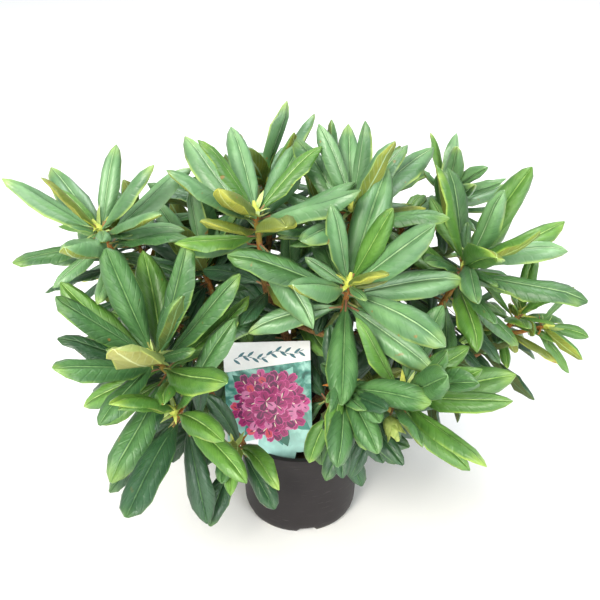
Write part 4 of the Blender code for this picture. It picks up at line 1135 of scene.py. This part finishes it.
def makeBladeBlank(name, s):
    # a grid is drawn out to the blade's outline, and its two edges are bridged underneath
    rows, columns = len(s["outline"]), len(s["across"])
    bpy.ops.mesh.primitive_grid_add(x_subdivisions=columns - 1, y_subdivisions=rows - 1, size=2.0)
    blank = named(name)
    aside = 10  # what has been moved stands aside for a while, so that it isn't picked twice
    startEdit(blank, "VERT", True)
    bpy.ops.transform.translate(value=(0, 1, 0))
    bpy.ops.transform.resize(value=(1, 0.5, 1), center_override=(0, 0, 0))
    for i, (x, z) in enumerate(zip(s["across"], s["rise"])):
        old = -1 + 2 * i / (columns - 1)
        pick(blank, lambda co: abs(co.x - old) < 0.001 and co.z == 0.0)
        bpy.ops.transform.translate(value=(x - old + aside, 0, z))
    selectAll()
    bpy.ops.transform.translate(value=(-aside, 0, 0))
    for row, (along, width) in enumerate(zip(s["along"], s["outline"])):
        old = row / (rows - 1)
        pick(blank, lambda co: abs(co.y - old) < 0.001)
        bpy.ops.transform.resize(value=(width, 1, width), center_override=(0, old, 0))
        bpy.ops.transform.translate(value=(0, along - old + aside, 0))
    selectAll()
    bpy.ops.transform.translate(value=(0, -aside, 0))
    shape = bmesh.from_edit_mesh(blank.data)
    for edge in shape.edges:
        a, b = edge.verts
        edge.select_set(edge.is_boundary and abs(a.co.y - b.co.y) > 0.01)
    bmesh.update_edit_mesh(blank.data)
    bpy.ops.mesh.select_mode(type="EDGE")
    bpy.ops.mesh.bridge_edge_loops()
    shape = bmesh.from_edit_mesh(blank.data)
    for edge in shape.edges:  # the rungs of the bridge are cut in half for the rib underneath
        a, b = edge.verts
        edge.select_set(abs(a.co.y - b.co.y) < 0.001 and (a.co - b.co).length > 1.5 * max(abs(a.co.x), 0.001))
    bmesh.update_edit_mesh(blank.data)
    bpy.ops.mesh.subdivide(number_cuts=1)
    shape = bmesh.from_edit_mesh(blank.data)
    for vert in shape.verts:
        if abs(vert.co.x) < 0.0001:
            vert.co.z += s["underRib"] * float(np.interp(vert.co.y, s["along"], s["outline"]))
    bmesh.update_edit_mesh(blank.data)
    bpy.ops.mesh.select_all(action="DESELECT")
    bpy.ops.mesh.select_non_manifold()
    bpy.ops.mesh.fill_holes(sides=0)
    endEdit()
    mesh = blank.data
    middle = len(s["across"]) % 2 == 0 and abs(s["across"][columns // 2]) < 0.1  # a column for the midrib
    for polygon in mesh.polygons:
        if polygon.normal.z < 0:
            polygon.material_index = 2
        elif middle and abs(polygon.center.x) < 0.03:
            polygon.material_index = 1
        else:
            polygon.material_index = 0
    for loop in mesh.loops:
        co = mesh.vertices[loop.vertex_index].co
        width = float(np.interp(co.y, s["along"], s["outline"]))
        mesh.uv_layers[0].data[loop.index].uv = (0.5 + 0.5 * co.x / width, co.y)
    for _ in range(3):
        mesh.materials.append(None)
    activate(blank)
    bpy.ops.object.shade_smooth_by_angle(angle=math.radians(48))
    deselectAll()
    return blank


def smoothPoints(points, shares):
    # places and directions on a smooth curve through evenly spaced points
    padded = [points[0] * 2 - points[1]] + list(points) + [points[-1] * 2 - points[-2]]
    spans = len(points) - 1
    result = []
    for share in shares:
        i = min(int(share * spans), spans - 1)
        t = share * spans - i
        a, b, c, d = padded[i:i + 4]
        square, cube = 2 * a - 5 * b + 4 * c - d, 3 * b - a - 3 * c + d
        place = 0.5 * (2 * b + (c - a) * t + square * t * t + cube * t ** 3)
        slope = 0.5 * ((c - a) + 2 * square * t + 3 * cube * t * t)
        result.append((place, slope.normalized()))
    return result


# how many waves (in radians along the blade) run on its right half, its left half and its rims
bladeWaves = {"right": 17, "left": 15, "rim": 12, "rimShare": 0.4, "hookFrom": 0.76, "sag": 0.25}


def bendBlade(blankCoordinates, along, leaf, draws, roll=1.0, wave=0.0, twist=0.0, hook=0.0):
    # lays the blank along a leaf's path, with its own roll, waves, twist, sideways sag and hooked tip
    w = bladeWaves
    half = leaf["width"] / 2
    result = blankCoordinates.copy()
    row = np.abs(blankCoordinates[:, 1:2] - np.array(along)).argmin(axis=1)
    frames = []
    side = None
    for share, (place, tangent) in zip(along, smoothPoints(leaf["path"], along)):
        side = bladeSide(tangent, leaf["axis"], side)
        turned = Matrix.Rotation(twist * share, 3, tangent) @ side
        frames.append((place, turned, turned.cross(tangent)))
    places = np.array([f[0] for f in frames])[row]
    sides = np.array([f[1] for f in frames])[row]
    normals = np.array([f[2] for f in frames])[row]
    x = blankCoordinates[:, 0]
    y = blankCoordinates[:, 1]
    z = blankCoordinates[:, 2] * roll
    first, second = draws.uniform(0, 6.28), draws.uniform(0, 6.28)
    ripple = np.where(x > 0, np.sin(y * w["right"] + first), np.sin(y * w["left"] + second))
    z = z + wave * ripple * x * x - hook * np.clip((y - w["hookFrom"]) / (1 - w["hookFrom"]), 0.0, 1.0) ** 2
    x = x * (1 + w["rimShare"] * wave * np.sin(y * w["rim"] + second))
    shift = draws.uniform(-w["sag"], w["sag"]) * 4 * y * (1 - y)
    result[:] = places + sides * ((x + shift) * half)[:, None] + normals * (z * half)[:, None]
    return result


# relief of the bark on trunk, boughs and stems: heights as shares of the radius, lengths in metres
barkShape = {
    "sides": 14, "rings": 40, "lump": 0.09, "lumpScale": 55, "ridge": 0.10, "ridgeScale": 28,
    "ridgeCount": 3.2, "collar": 0.35, "collarLength": 0.010, "scar": 0.16, "scarLength": 0.0028,
    "scarWidth": 0.42, "boughScars": 6, "stemScars": 7, "shootScars": 4,
}
# the leaf stalks: thicker at the foot, up to a little way into the blade (shares of the leaf's length)
stalkShape = {
    "sides": 6, "rings": 5, "from": -0.01, "to": 0.15, "base": 0.0021, "thick": 0.0014, "thin": 0.0011,
    "swelling": 0.18, "fullFrom": 0.09,
}


def makeTubeBlank(name, sides, rings):
    bpy.ops.mesh.primitive_cylinder_add(vertices=sides, radius=1.0, depth=1.0, location=(0, 0, 0.5))
    blank = named(name)
    activate(blank)
    bpy.ops.object.transform_apply(location=True, rotation=True, scale=True)
    startEdit(blank, "EDGE")
    shape = bmesh.from_edit_mesh(blank.data)
    for edge in shape.edges:
        edge.select_set(abs(edge.verts[0].co.z - edge.verts[1].co.z) > 0.5)
    bmesh.update_edit_mesh(blank.data)
    bpy.ops.mesh.subdivide(number_cuts=rings - 1)
    deselectAll()
    mesh = blank.data
    for polygon in mesh.polygons:
        middle = math.atan2(polygon.center.y, polygon.center.x)
        for index in polygon.loop_indices:
            co = mesh.vertices[mesh.loops[index].vertex_index].co
            angle = math.atan2(co.y, co.x)
            if abs(angle - middle) > math.pi:
                angle += math.copysign(2 * math.pi, middle)
            mesh.uv_layers[0].data[index].uv = (angle / (2 * math.pi), co.z)
    activate(blank)
    bpy.ops.object.shade_smooth_by_angle(angle=math.radians(60))
    deselectAll()
    return blank


def layTube(blank, name, centres, radiusOf, length):
    # centres: place and direction for each ring; radiusOf gives the radius at an angle and share
    flat = coordinatesOf(blank)
    rings = len(centres) - 1
    side = centres[0][1].orthogonal().normalized()
    frames = []
    for place, along in centres:
        side = (side - along * side.dot(along)).normalized()
        frames.append((place, side, along.cross(side)))
    result = []
    for x, y, z in flat:
        place, side, up = frames[round(z * rings)]
        r = radiusOf(math.atan2(y, x), z)
        result.append(place + (side * x + up * y) * r)
    thing = copyOf(blank, name, result)
    layer = thing.data.uv_layers[0].data
    uv = np.zeros(len(layer) * 2, dtype=np.float32)
    layer.foreach_get("uv", uv)
    uv = uv.reshape(-1, 2)
    uv[:, 0] *= 2 * math.pi * radiusOf(0.0, 0.5) * 100
    uv[:, 1] *= length * 100
    layer.foreach_set("uv", uv.ravel())
    return thing


def limbCentres(limb, rings):
    # a smooth line through the limb's own points, at even shares of its length
    result = []
    points = [limb.path[0] * 2 - limb.path[1]] + limb.path + [limb.path[-1] * 2 - limb.path[-2]]
    for ring in range(rings + 1):
        share = ring / rings
        i = 0
        while i < len(limb.path) - 2 and share > limb.shares[i + 1]:
            i += 1
        t = (share - limb.shares[i]) / (limb.shares[i + 1] - limb.shares[i])
        t = min(max(t, 0.0), 1.0)
        b, c = points[i + 1], points[i + 2]
        span = (c - b).length
        before = (c - points[i]).normalized() * span
        after = (points[i + 3] - b).normalized() * span
        place = b * (2 * t ** 3 - 3 * t * t + 1) + before * (t ** 3 - 2 * t * t + t)
        place += c * (3 * t * t - 2 * t ** 3) + after * (t ** 3 - t * t)
        slope = b * (6 * t * t - 6 * t) + before * (3 * t * t - 4 * t + 1)
        slope += c * (6 * t - 6 * t * t) + after * (3 * t * t - 2 * t)
        result.append((place, slope.normalized()))
    return result


def barkedLimb(blank, name, limb, seed, collar=0.0, scars=0):
    s = barkShape
    draws = random.Random(seed)
    marks = [(whorlRule["golden"] * k + draws.uniform(-0.3, 0.3), (k + draws.uniform(0.2, 0.8)) / scars)
             for k in range(scars)]
    shift = Vector((seed * 3.1, seed * 1.7, 0.0))

    def radiusOf(angle, share):
        r = limb.radiusAt(share)
        x, y, far = math.cos(angle), math.sin(angle), share * limb.length
        lumps = Vector((x, y, far * s["lumpScale"])) + shift
        ridges = Vector((x * s["ridgeCount"], y * s["ridgeCount"], far * s["ridgeScale"])) + shift
        size = 1 + s["lump"] * noise.noise(lumps) + s["ridge"] * noise.noise(ridges)
        size += collar * math.exp(-(far / s["collarLength"]) ** 2)
        for turn, place in marks:
            around = (angle - turn + math.pi) % (2 * math.pi) - math.pi
            away = (share - place) * limb.length / s["scarLength"]
            size += s["scar"] * math.exp(-(around / s["scarWidth"]) ** 2 - away ** 2)
        return r * size

    return layTube(blank, name, limbCentres(limb, s["rings"]), radiusOf, limb.length)


def barkMaterial(name, dark, light, moss, ridge):
    # thin bark: brown and stringy on old wood, smoother and greener on young wood, in shreds along the limb
    material, tree, shader = newMaterial(name, light, 0.8, {"Specular IOR Level": 0.25})
    uv = addNode(tree, "UVMap")  # centimetres round and along the limb
    stretched = addNode(tree, "Mapping", {"Vector": uv, "Scale": (5.0, 1.1, 1.0)})
    shred = addNode(tree, "TexNoise", (stretched, 1.6, 5.0))
    streaked = addNode(tree, "ValToRGB", (shred,), ((0.36, dark), (0.64, light)))
    cloud = addNode(tree, "TexNoise", (addNode(tree, "TexCoord").outputs["Object"], 45.0, 2.0))
    patch = addNode(tree, "MapRange", (cloud, 0.52, 0.70, 0.0, 0.75))
    colour = addNode(tree, "Mix", (patch, streaked, moss), **colours)
    bump = addNode(tree, "Bump", {"Height": shred, "Strength": ridge, "Distance": 0.0008})
    setInputs(shader, {"Base Color": colour, "Normal": bump})
    return material


def makeWood(limbs, stems):
    s = barkShape
    blank = makeTubeBlank("limbBlank", s["sides"], s["rings"])
    oldBark = barkMaterial("stringyOldBark", "#563d27", "#966d40", "#6f7a3a", 0.7)
    youngBark = barkMaterial("smoothYoungBark", "#8a5529", "#bb8145", "#9a9444", 0.35)
    old, young = [], []
    for number, (name, limb) in enumerate(limbs.items()):
        collar, scars = (0.0, 0) if name == "main_stem" else (s["collar"], s["boughScars"])
        old.append(barkedLimb(blank, name + "Bark", limb, number + 1, collar, scars))
    for number, (name, (stem, shoots)) in enumerate(stems.items()):
        young.append(barkedLimb(blank, name + "Stem", stem, number + 50, 0.0, s["stemScars"]))
        for k, shoot in enumerate(shoots):
            seed = number + 90 + k
            young.append(barkedLimb(blank, name + "Shoot", shoot, seed, s["collar"], s["shootScars"]))
    woods = ((old, "trunkAndBoughBark", oldBark, ["main_stem"] + boughNodes),
             (young, "youngStems", youngBark, foliageNodes))
    for things, name, material, nodes in woods:
        wood = joinAll(things, name)
        wood.data.materials.append(material)
        showPiece(wood, nodes)
    discard(blank)
    print("wood:", len(limbs), "limbs and", len(young), "young stems")


def makeStalks(leaves):
    s = stalkShape
    blank = makeTubeBlank("stalkBlank", s["sides"], s["rings"])
    # leaf stalks: smooth, reddish where the sun reaches them
    red = thinSkin("reddishLeafStalk", "#a46c56", "#8f8450", 0.5, 120.0)
    green = thinSkin("greenLeafStalk", "#9aa65c", "#a88f5c", 0.5, 120.0)
    shares = [s["from"] + (s["to"] - s["from"]) * k / s["rings"] for k in range(s["rings"] + 1)]
    stalks = []
    for number, leaf in enumerate(leaves):
        centres = smoothPoints(leaf["path"], [max(share, 0.0) for share in shares])
        small = min(1.0, leaf["length"] / s["fullFrom"])

        def radiusOf(angle, share):
            thick = s["thick"] + (s["thin"] - s["thick"]) * share
            return small * (thick + (s["base"] - s["thick"]) * math.exp(-(share / s["swelling"]) ** 2))

        stalk = layTube(blank, "stalk", centres, radiusOf, leaf["length"] * s["to"])
        stalk.data.materials.append(green if number % 3 == 0 else red)
        stalks.append(stalk)
    joined = joinAll(stalks, "leafStalks")
    showPiece(joined, foliageNodes)
    discard(blank)
    print("stalks:", len(stalks))


# the leaf buds: a pointed core in ten opening bracts
budShape = {
    "seed": 77, "radius": 0.0058, "length": 0.016, "rise": 0.32,
    # the core is a ball, narrowed above its middle and drawn out at its tip
    "narrowFrom": 0.35, "narrow": 0.7, "tipFrom": 0.9, "tipRise": 0.55,
    "shootSize": 0.75, "sizes": {"front_low_right": 1.2},
    "bracts": 10, "bractLength": (0.017, 0.028), "bractWidth": (0.18, 0.27), "opened": (95, 50),
    "openedSway": 14, "curl": (-35, 45), "footStep": 0.001, "footDrop": 0.004, "wave": 0.1, "hook": 0.4,
    "sizeShare": 0.25, "brownShare": 0.15, "scaleShare": 0.35,
}
# one fat flower bud that nods below the right front whorl: green, its scales flushed with pink
flowerBud = {
    "mass": "front_low_right", "away": (-0.014, -0.036, -0.018), "along": (0.35, -0.45, -0.75),
    "size": (0.0088, 0.0088, 0.0115), "stalk": (0.0024, 0.0024, 0.019), "stalkBack": 0.55, "stalkSink": 0.008,
    "scales": 9, "flushed": (1, 6), "scaleFoot": 0.010, "scaleStep": 0.0008, "scaleReach": 0.0045,
    "scaleOpen": 0.42, "scaleLength": 0.019, "scaleWidth": 0.0125,
}


def upright(along):
    # turns the blank's Z axis to this direction
    return along.to_track_quat("Z", "Y").to_matrix().to_4x4()


def bendBract(flat, path, axis, width, draws, hook):
    leaf = {"path": path, "axis": axis, "width": width}
    return bendBlade(flat, bractShape["along"], leaf, draws, 1.0, budShape["wave"], 0.0, hook)


def makeBuds(stems):
    s, f = budShape, flowerBud
    bpy.ops.mesh.primitive_uv_sphere_add(segments=10, ring_count=8, radius=1.0)
    core = named("budBlank")
    startEdit(core)
    pick(core, lambda co: co.z > s["narrowFrom"])
    bpy.ops.transform.resize(value=(s["narrow"], s["narrow"], 1.0), center_override=(0, 0, 0))
    pick(core, lambda co: co.z > s["tipFrom"])
    bpy.ops.transform.translate(value=(0, 0, s["tipRise"]))
    deselectAll()
    coreFlat = coordinatesOf(core)
    bract = makeBladeBlank("bractBlank", bractShape)
    bractFlat = coordinatesOf(bract)
    scale = thinSkin("yellowGreenBudScale", "#dade68", "#bccb62")  # soft new growth, matt and pale
    tip = thinSkin("paleGreenBract", "#b3ca78", "#c6d58e")
    brown = thinSkin("brownBudBase", "#b67431", "#94602c", 0.6)
    flush = thinSkin("pinkFlushedScale", "#bf8870", "#a89a5e")
    green = thinSkin("greenFlowerBud", "#98ad58", "#aab765")
    pieces = []

    def addCore(matrix, ink):
        pieces.append(copyOf(core, "bud", moved(matrix, coreFlat)))
        pieces[-1].data.materials.append(ink)

    draws = random.Random(s["seed"])
    golden = whorlRule["golden"]
    for name, (stem, shoots) in stems.items():
        for shoot in [stem] + shoots:
            place, along = shoot.at(1.0)
            size = s["sizes"].get(name, 1.0 if shoot is stem else s["shootSize"])
            stretch = Matrix.Diagonal((s["radius"] * size, s["radius"] * size, s["length"] * size * 0.5, 1.0))
            middle = place + along * s["length"] * size * s["rise"]
            addCore(Matrix.Translation(middle) @ upright(along) @ stretch, scale)
            across = along.orthogonal().normalized()
            for k in range(s["bracts"]):
                share = k / (s["bracts"] - 1)
                out = Matrix.Rotation(golden * k, 3, along) @ across
                sway = draws.uniform(-s["openedSway"], s["openedSway"])
                opened = math.radians(s["opened"][0] - s["opened"][1] * share + sway)
                direction = along * math.cos(opened) + out * math.sin(opened)
                length = draws.uniform(*s["bractLength"]) * (1 + s["sizeShare"] * (size - 1))
                foot = place + along * s["footStep"] * k * size - along * s["footDrop"]
                path = leafPath(foot, direction, length, math.radians(draws.uniform(*s["curl"])))
                width = length * draws.uniform(*s["bractWidth"])
                laidOut = bendBract(bractFlat, path, along, width, draws, s["hook"])
                ink = brown if share < s["brownShare"] else scale if draws.random() < s["scaleShare"] else tip
                pieces.append(copyOf(bract, "bract", laidOut, [ink, ink, ink]))

    away, along = Vector(f["away"]), Vector(f["along"]).normalized()
    place = Vector(foliageRows[f["mass"]][0]) + away
    middle = place - away * f["stalkBack"] - along * f["stalkSink"]
    addCore(Matrix.Translation(middle) @ upright(away) @ Matrix.Diagonal((*f["stalk"], 1.0)), flush)
    addCore(Matrix.Translation(place) @ upright(along) @ Matrix.Diagonal((*f["size"], 1.0)), green)
    across = along.orthogonal().normalized()
    for k in range(f["scales"]):
        out = Matrix.Rotation(golden * k, 3, along) @ across
        foot = place - along * (f["scaleFoot"] - f["scaleStep"] * k) + out * f["scaleReach"]
        path = leafPath(foot, (along + out * f["scaleOpen"]).normalized(), f["scaleLength"], 0.0)
        laidOut = bendBract(bractFlat, path, out, f["scaleWidth"], draws, 0.0)
        ink = flush if k in f["flushed"] else green
        pieces.append(copyOf(bract, "bract", laidOut, [ink, ink, ink]))
    joined = joinAll(pieces, "budsAndBracts")
    for polygon in joined.data.polygons:
        polygon.use_smooth = True
    showPiece(joined, foliageNodes)
    discard(core, bract)
    print("buds:", len(pieces), "buds and bracts")


# leaves that the solids leave out, as whorls on the same stems: a few small new ones round the bud, some
# between, and older ones below (turn in degrees, length as a share of the mass's own)
extraWhorls = {
    "small": {"turn": 33, "length": 0.42, "open": (70, 35), "leaves": 4, "droop": (10, 20),
              "seed": 200, "depth": 0.006},
    "middle": {"turn": 160, "length": 0.80, "open": (85, 60), "leaves": 5, "droop": (15, 20),
               "seed": 300, "depth": 0.020},
    "older": {"turn": 210, "length": 0.85, "open": (100, 75), "leaves": 6, "droop": (30, 20),
              "seed": 400, "depth": 0.010, "share": -0.5},
}
olderAt = {"plain": 0.55, "overLowerWhorl": 0.30}  # the older ones' place along the stem
boughWhorls = {
    "places": (0.92, 0.70, 0.50), "back": 0.12, "turns": (51, 77), "length": 0.105, "open": (95, 65),
    "leaves": 4, "droop": (30, 15), "seed": 700, "seedStep": 5, "depth": 0.012, "share": -1.0,
}
bareLimbs = ("main_stem", "side_bough_pot_left")
# the space in front of the card, on the card's own axes: the solids' leaves keep clear of the first one,
# and the extra leaves of a wider one
cardView = {"first": ((-0.036, 0.052), (0.032, 0.146)), "wider": ((-0.056, 0.058), (-0.012, 0.152)),
            "towardEye": (0.010, -0.190, 0.130)}
loneRule = {"axis": (0.0, -1.0, 0.5), "bend": 12, "width": 0.36, "share": 0.5}
boxRule = {"share": 0.02, "more": 0.004, "floor": 0.01}  # how far a leaf's tip may pass the solids' box


def addCardView(obstacles, name):
    near = cardMatrix()
    far = Matrix.Translation(cardView["towardEye"]) @ near
    verts = []
    for x in cardView[name][0]:
        for y in cardView[name][1]:
            verts += [near @ Vector((x, y, 0.0)), far @ Vector((x, y, 0.0))]
    faces = [(0, 1, 3, 2), (4, 6, 7, 5), (0, 4, 5, 1), (2, 3, 7, 6), (0, 2, 6, 4), (1, 5, 7, 3)]
    obstacles.add(name + "CardView", verts, faces)


def growSolidLeaves(stems, obstacles, blades):
    # the leaves that the solids have too
    r = whorlRule
    leaves = []
    for name, row in foliageRows.items():
        _, (heading, lean, turn), length, openness, count, droop, seed, _, _ = row
        stem, shoots = stems[name]
        whorl = (heading, lean, turn, length, openness, count, droop, seed, r["depth"])
        for leaf in growWhorl(name, stem, whorl, obstacles, blades):
            leaf["kind"] = ownKinds.get(name, {}).get(leaf["number"])
            if leaf["number"] in turnedLeaves.get(name, ()):
                leaf["axis"] = -leaf["axis"]
            leaves.append(leaf)
        if name in lowerWhorls:
            below = Limb([stem.path[0], stem.at(r["lowerAt"])[0]], limbRule["stem"])
            older = (heading, lean, turn + r["lowerTurn"], length * r["lowerLength"], r["lowerOpen"],
                     r["lowerLeaves"], r["lowerDroop"], seed + r["lowerSeed"], r["lowerDepth"])
            leaves += growWhorl(name, below, older, obstacles, blades)
        for number, shoot in enumerate(shoots):
            _, along = shoot.at(1.0)
            heading, lean = headingOf(along)
            side = (heading, lean, seed * r["sideTurn"], length * r["sideLength"], openness,
                    r["sideLeaves"], droop, seed + r["sideSeed"] + number, r["depth"])
            leaves += growWhorl(name, shoot, side, obstacles, blades)
    return leaves


def headingOf(along):
    return math.degrees(math.atan2(along.y, along.x)), math.degrees(math.acos(min(1.0, along.z)))


def growExtraLeaves(limbs, stems, obstacles, blades):
    leaves = []
    for name, row in foliageRows.items():
        _, (heading, lean, turn), length, _, _, _, seed, _, _ = row
        stem, _ = stems[name]
        for kind, e in extraWhorls.items():
            if name in sparseMasses or (name in openMasses and kind != "small"):
                continue
            limb = stem
            if kind == "older":
                share = olderAt["overLowerWhorl" if name in lowerWhorls else "plain"]
                limb = Limb([stem.path[0], stem.at(share)[0]], limbRule["stem"])
            whorl = (heading, lean, turn + e["turn"], length * e["length"], e["open"], e["leaves"],
                     e["droop"], seed + e["seed"], e["depth"])
            for leaf in growWhorl(name, limb, whorl, obstacles, blades):
                leaf["share"] = e.get("share", leaf["share"])
                leaves.append(leaf)
    b = boughWhorls
    for number, (name, limb) in enumerate(limbs.items()):
        if name in bareLimbs:
            continue
        for k, share in enumerate(b["places"]):
            place, along = limb.at(share)
            below = Limb([limb.at(max(share - b["back"], 0.0))[0], place], limbRule["side"])
            turn = number * b["turns"][0] + k * b["turns"][1]
            whorl = (*headingOf(along), turn, b["length"], b["open"], b["leaves"], b["droop"],
                     b["seed"] + number * b["seedStep"] + k, b["depth"])
            for leaf in growWhorl(name, below, whorl, obstacles, blades):
                leaf["share"] = b["share"]
                leaves.append(leaf)
    for name, share, direction, length, kind in loneLeaves:
        foot, _ = limbs[name].at(share)
        path = leafPath(foot, Vector(direction).normalized(), length, math.radians(loneRule["bend"]))
        leaves.append({"mass": name, "path": path, "axis": Vector(loneRule["axis"]).normalized(),
                       "width": length * loneRule["width"], "share": loneRule["share"], "length": length,
                       "kind": kind})
    return leaves


def growLeaves(limbs, stems):
    obstacles, blades = Obstacles(), Obstacles()
    for name in ("pot", "potting_soil", "label_card", "main_stem"):
        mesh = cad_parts[name].data
        obstacles.add(name, [v.co.copy() for v in mesh.vertices], [tuple(p.vertices) for p in mesh.polygons])
    addCardView(obstacles, "first")
    for name, limb in limbs.items():
        if name != "main_stem":
            addLimbTo(obstacles, name, limb)
    for name, (stem, shoots) in stems.items():
        for limb in [stem] + shoots:
            addLimbTo(obstacles, name, limb)
    leaves = growSolidLeaves(stems, obstacles, blades)
    solidLeaves = len(leaves)
    addCardView(obstacles, "wider")
    leaves += growExtraLeaves(limbs, stems, obstacles, blades)
    low, high = cadBox
    spare = [boxRule["share"] * (b - a) + boxRule["more"] for a, b in zip(low, high)]
    inside = []
    for leaf in leaves:
        tip = leaf["path"][-1]
        within = all(low[i] - spare[i] < tip[i] < high[i] + spare[i] for i in range(3))
        if within and tip.z > boxRule["floor"]:
            inside.append(leaf)
    print("leaves:", solidLeaves, "as in the solids,", len(inside), "in all")
    return inside


# how a leaf gets its kind and its own manner: the shares of the whorl where each kind begins, and the luck
# of the draw
leafDeal = {
    "seed": 404, "sway": 0.18, "newFrom": 0.85, "oldTo": 0.3, "darkTo": -0.4, "allDarkTo": -0.7,
    "brightLuck": 0.07, "brightFrom": 0.2, "oliveLuck": 0.10,
    "roll": (0.8, 1.2), "twist": (-16, 16), "hook": (-0.05, 0.60),
    # the kinds of a mass that has none of its own, above and below this height of its bud
    "height": 0.38, "high": ("young", "mid", "mid"), "low": ("mid", "mid", "dark"),
}


def dealKind(leaf, draws):
    d = leafDeal
    bud = foliageRows.get(leaf["mass"], ((0.0, 0.0, 0.0),))[0]
    kinds = massKinds.get(leaf["mass"], d["high"] if bud[2] > d["height"] else d["low"])
    share = leaf["share"] + draws.uniform(-d["sway"], d["sway"])
    kind = kinds[0] if share > d["newFrom"] else kinds[1] if share > d["oldTo"] else kinds[2]
    if leaf["share"] < d["allDarkTo"] or share < d["darkTo"]:
        kind = "dark"
    luck = draws.random()
    if luck < d["brightLuck"] and share > d["brightFrom"]:
        kind = "bright"
    elif luck < d["oliveLuck"]:
        kind = "olive"
    return leaf.get("kind") or kind


def makeLeaves(leaves):
    d = leafDeal
    blank = makeBladeBlank("leafBlank", leafShape)
    bluntBlank = makeBladeBlank("bluntLeafBlank", dict(leafShape, outline=bluntOutline))
    flat, bluntFlat = coordinatesOf(blank), coordinatesOf(bluntBlank)
    materials = {kind: leafCuticle(kind) for kind in leafInks}
    made = {kind: [] for kind in leafInks}
    draws = random.Random(d["seed"])
    for leaf in leaves:
        kind = dealKind(leaf, draws)
        roll, wave = bladeManner[kind]
        roll *= draws.uniform(*d["roll"])
        twist = math.radians(draws.uniform(*d["twist"]))
        hook = draws.uniform(*d["hook"])
        form, points = (bluntBlank, bluntFlat) if kind in bluntKinds else (blank, flat)
        laidOut = bendBlade(points, leafShape["along"], leaf, draws, roll, wave, twist, hook)
        made[kind].append(copyOf(form, "leaf", laidOut, materials[kind]))
    for kind, copies in made.items():
        showPiece(joinAll(copies, kind + "Leaves"), foliageNodes)
        print("leaves:", len(copies), kind)
    discard(blank, bluntBlank)


makeStage()
makePot()
makeSoil()
makeCard()
limbs = growLimbs()
stems = {name: growStem(row) for name, row in foliageRows.items()}
makeWood(limbs, stems)
leaves = growLeaves(limbs, stems)
makeLeaves(leaves)
makeStalks(leaves)
makeBuds(stems)
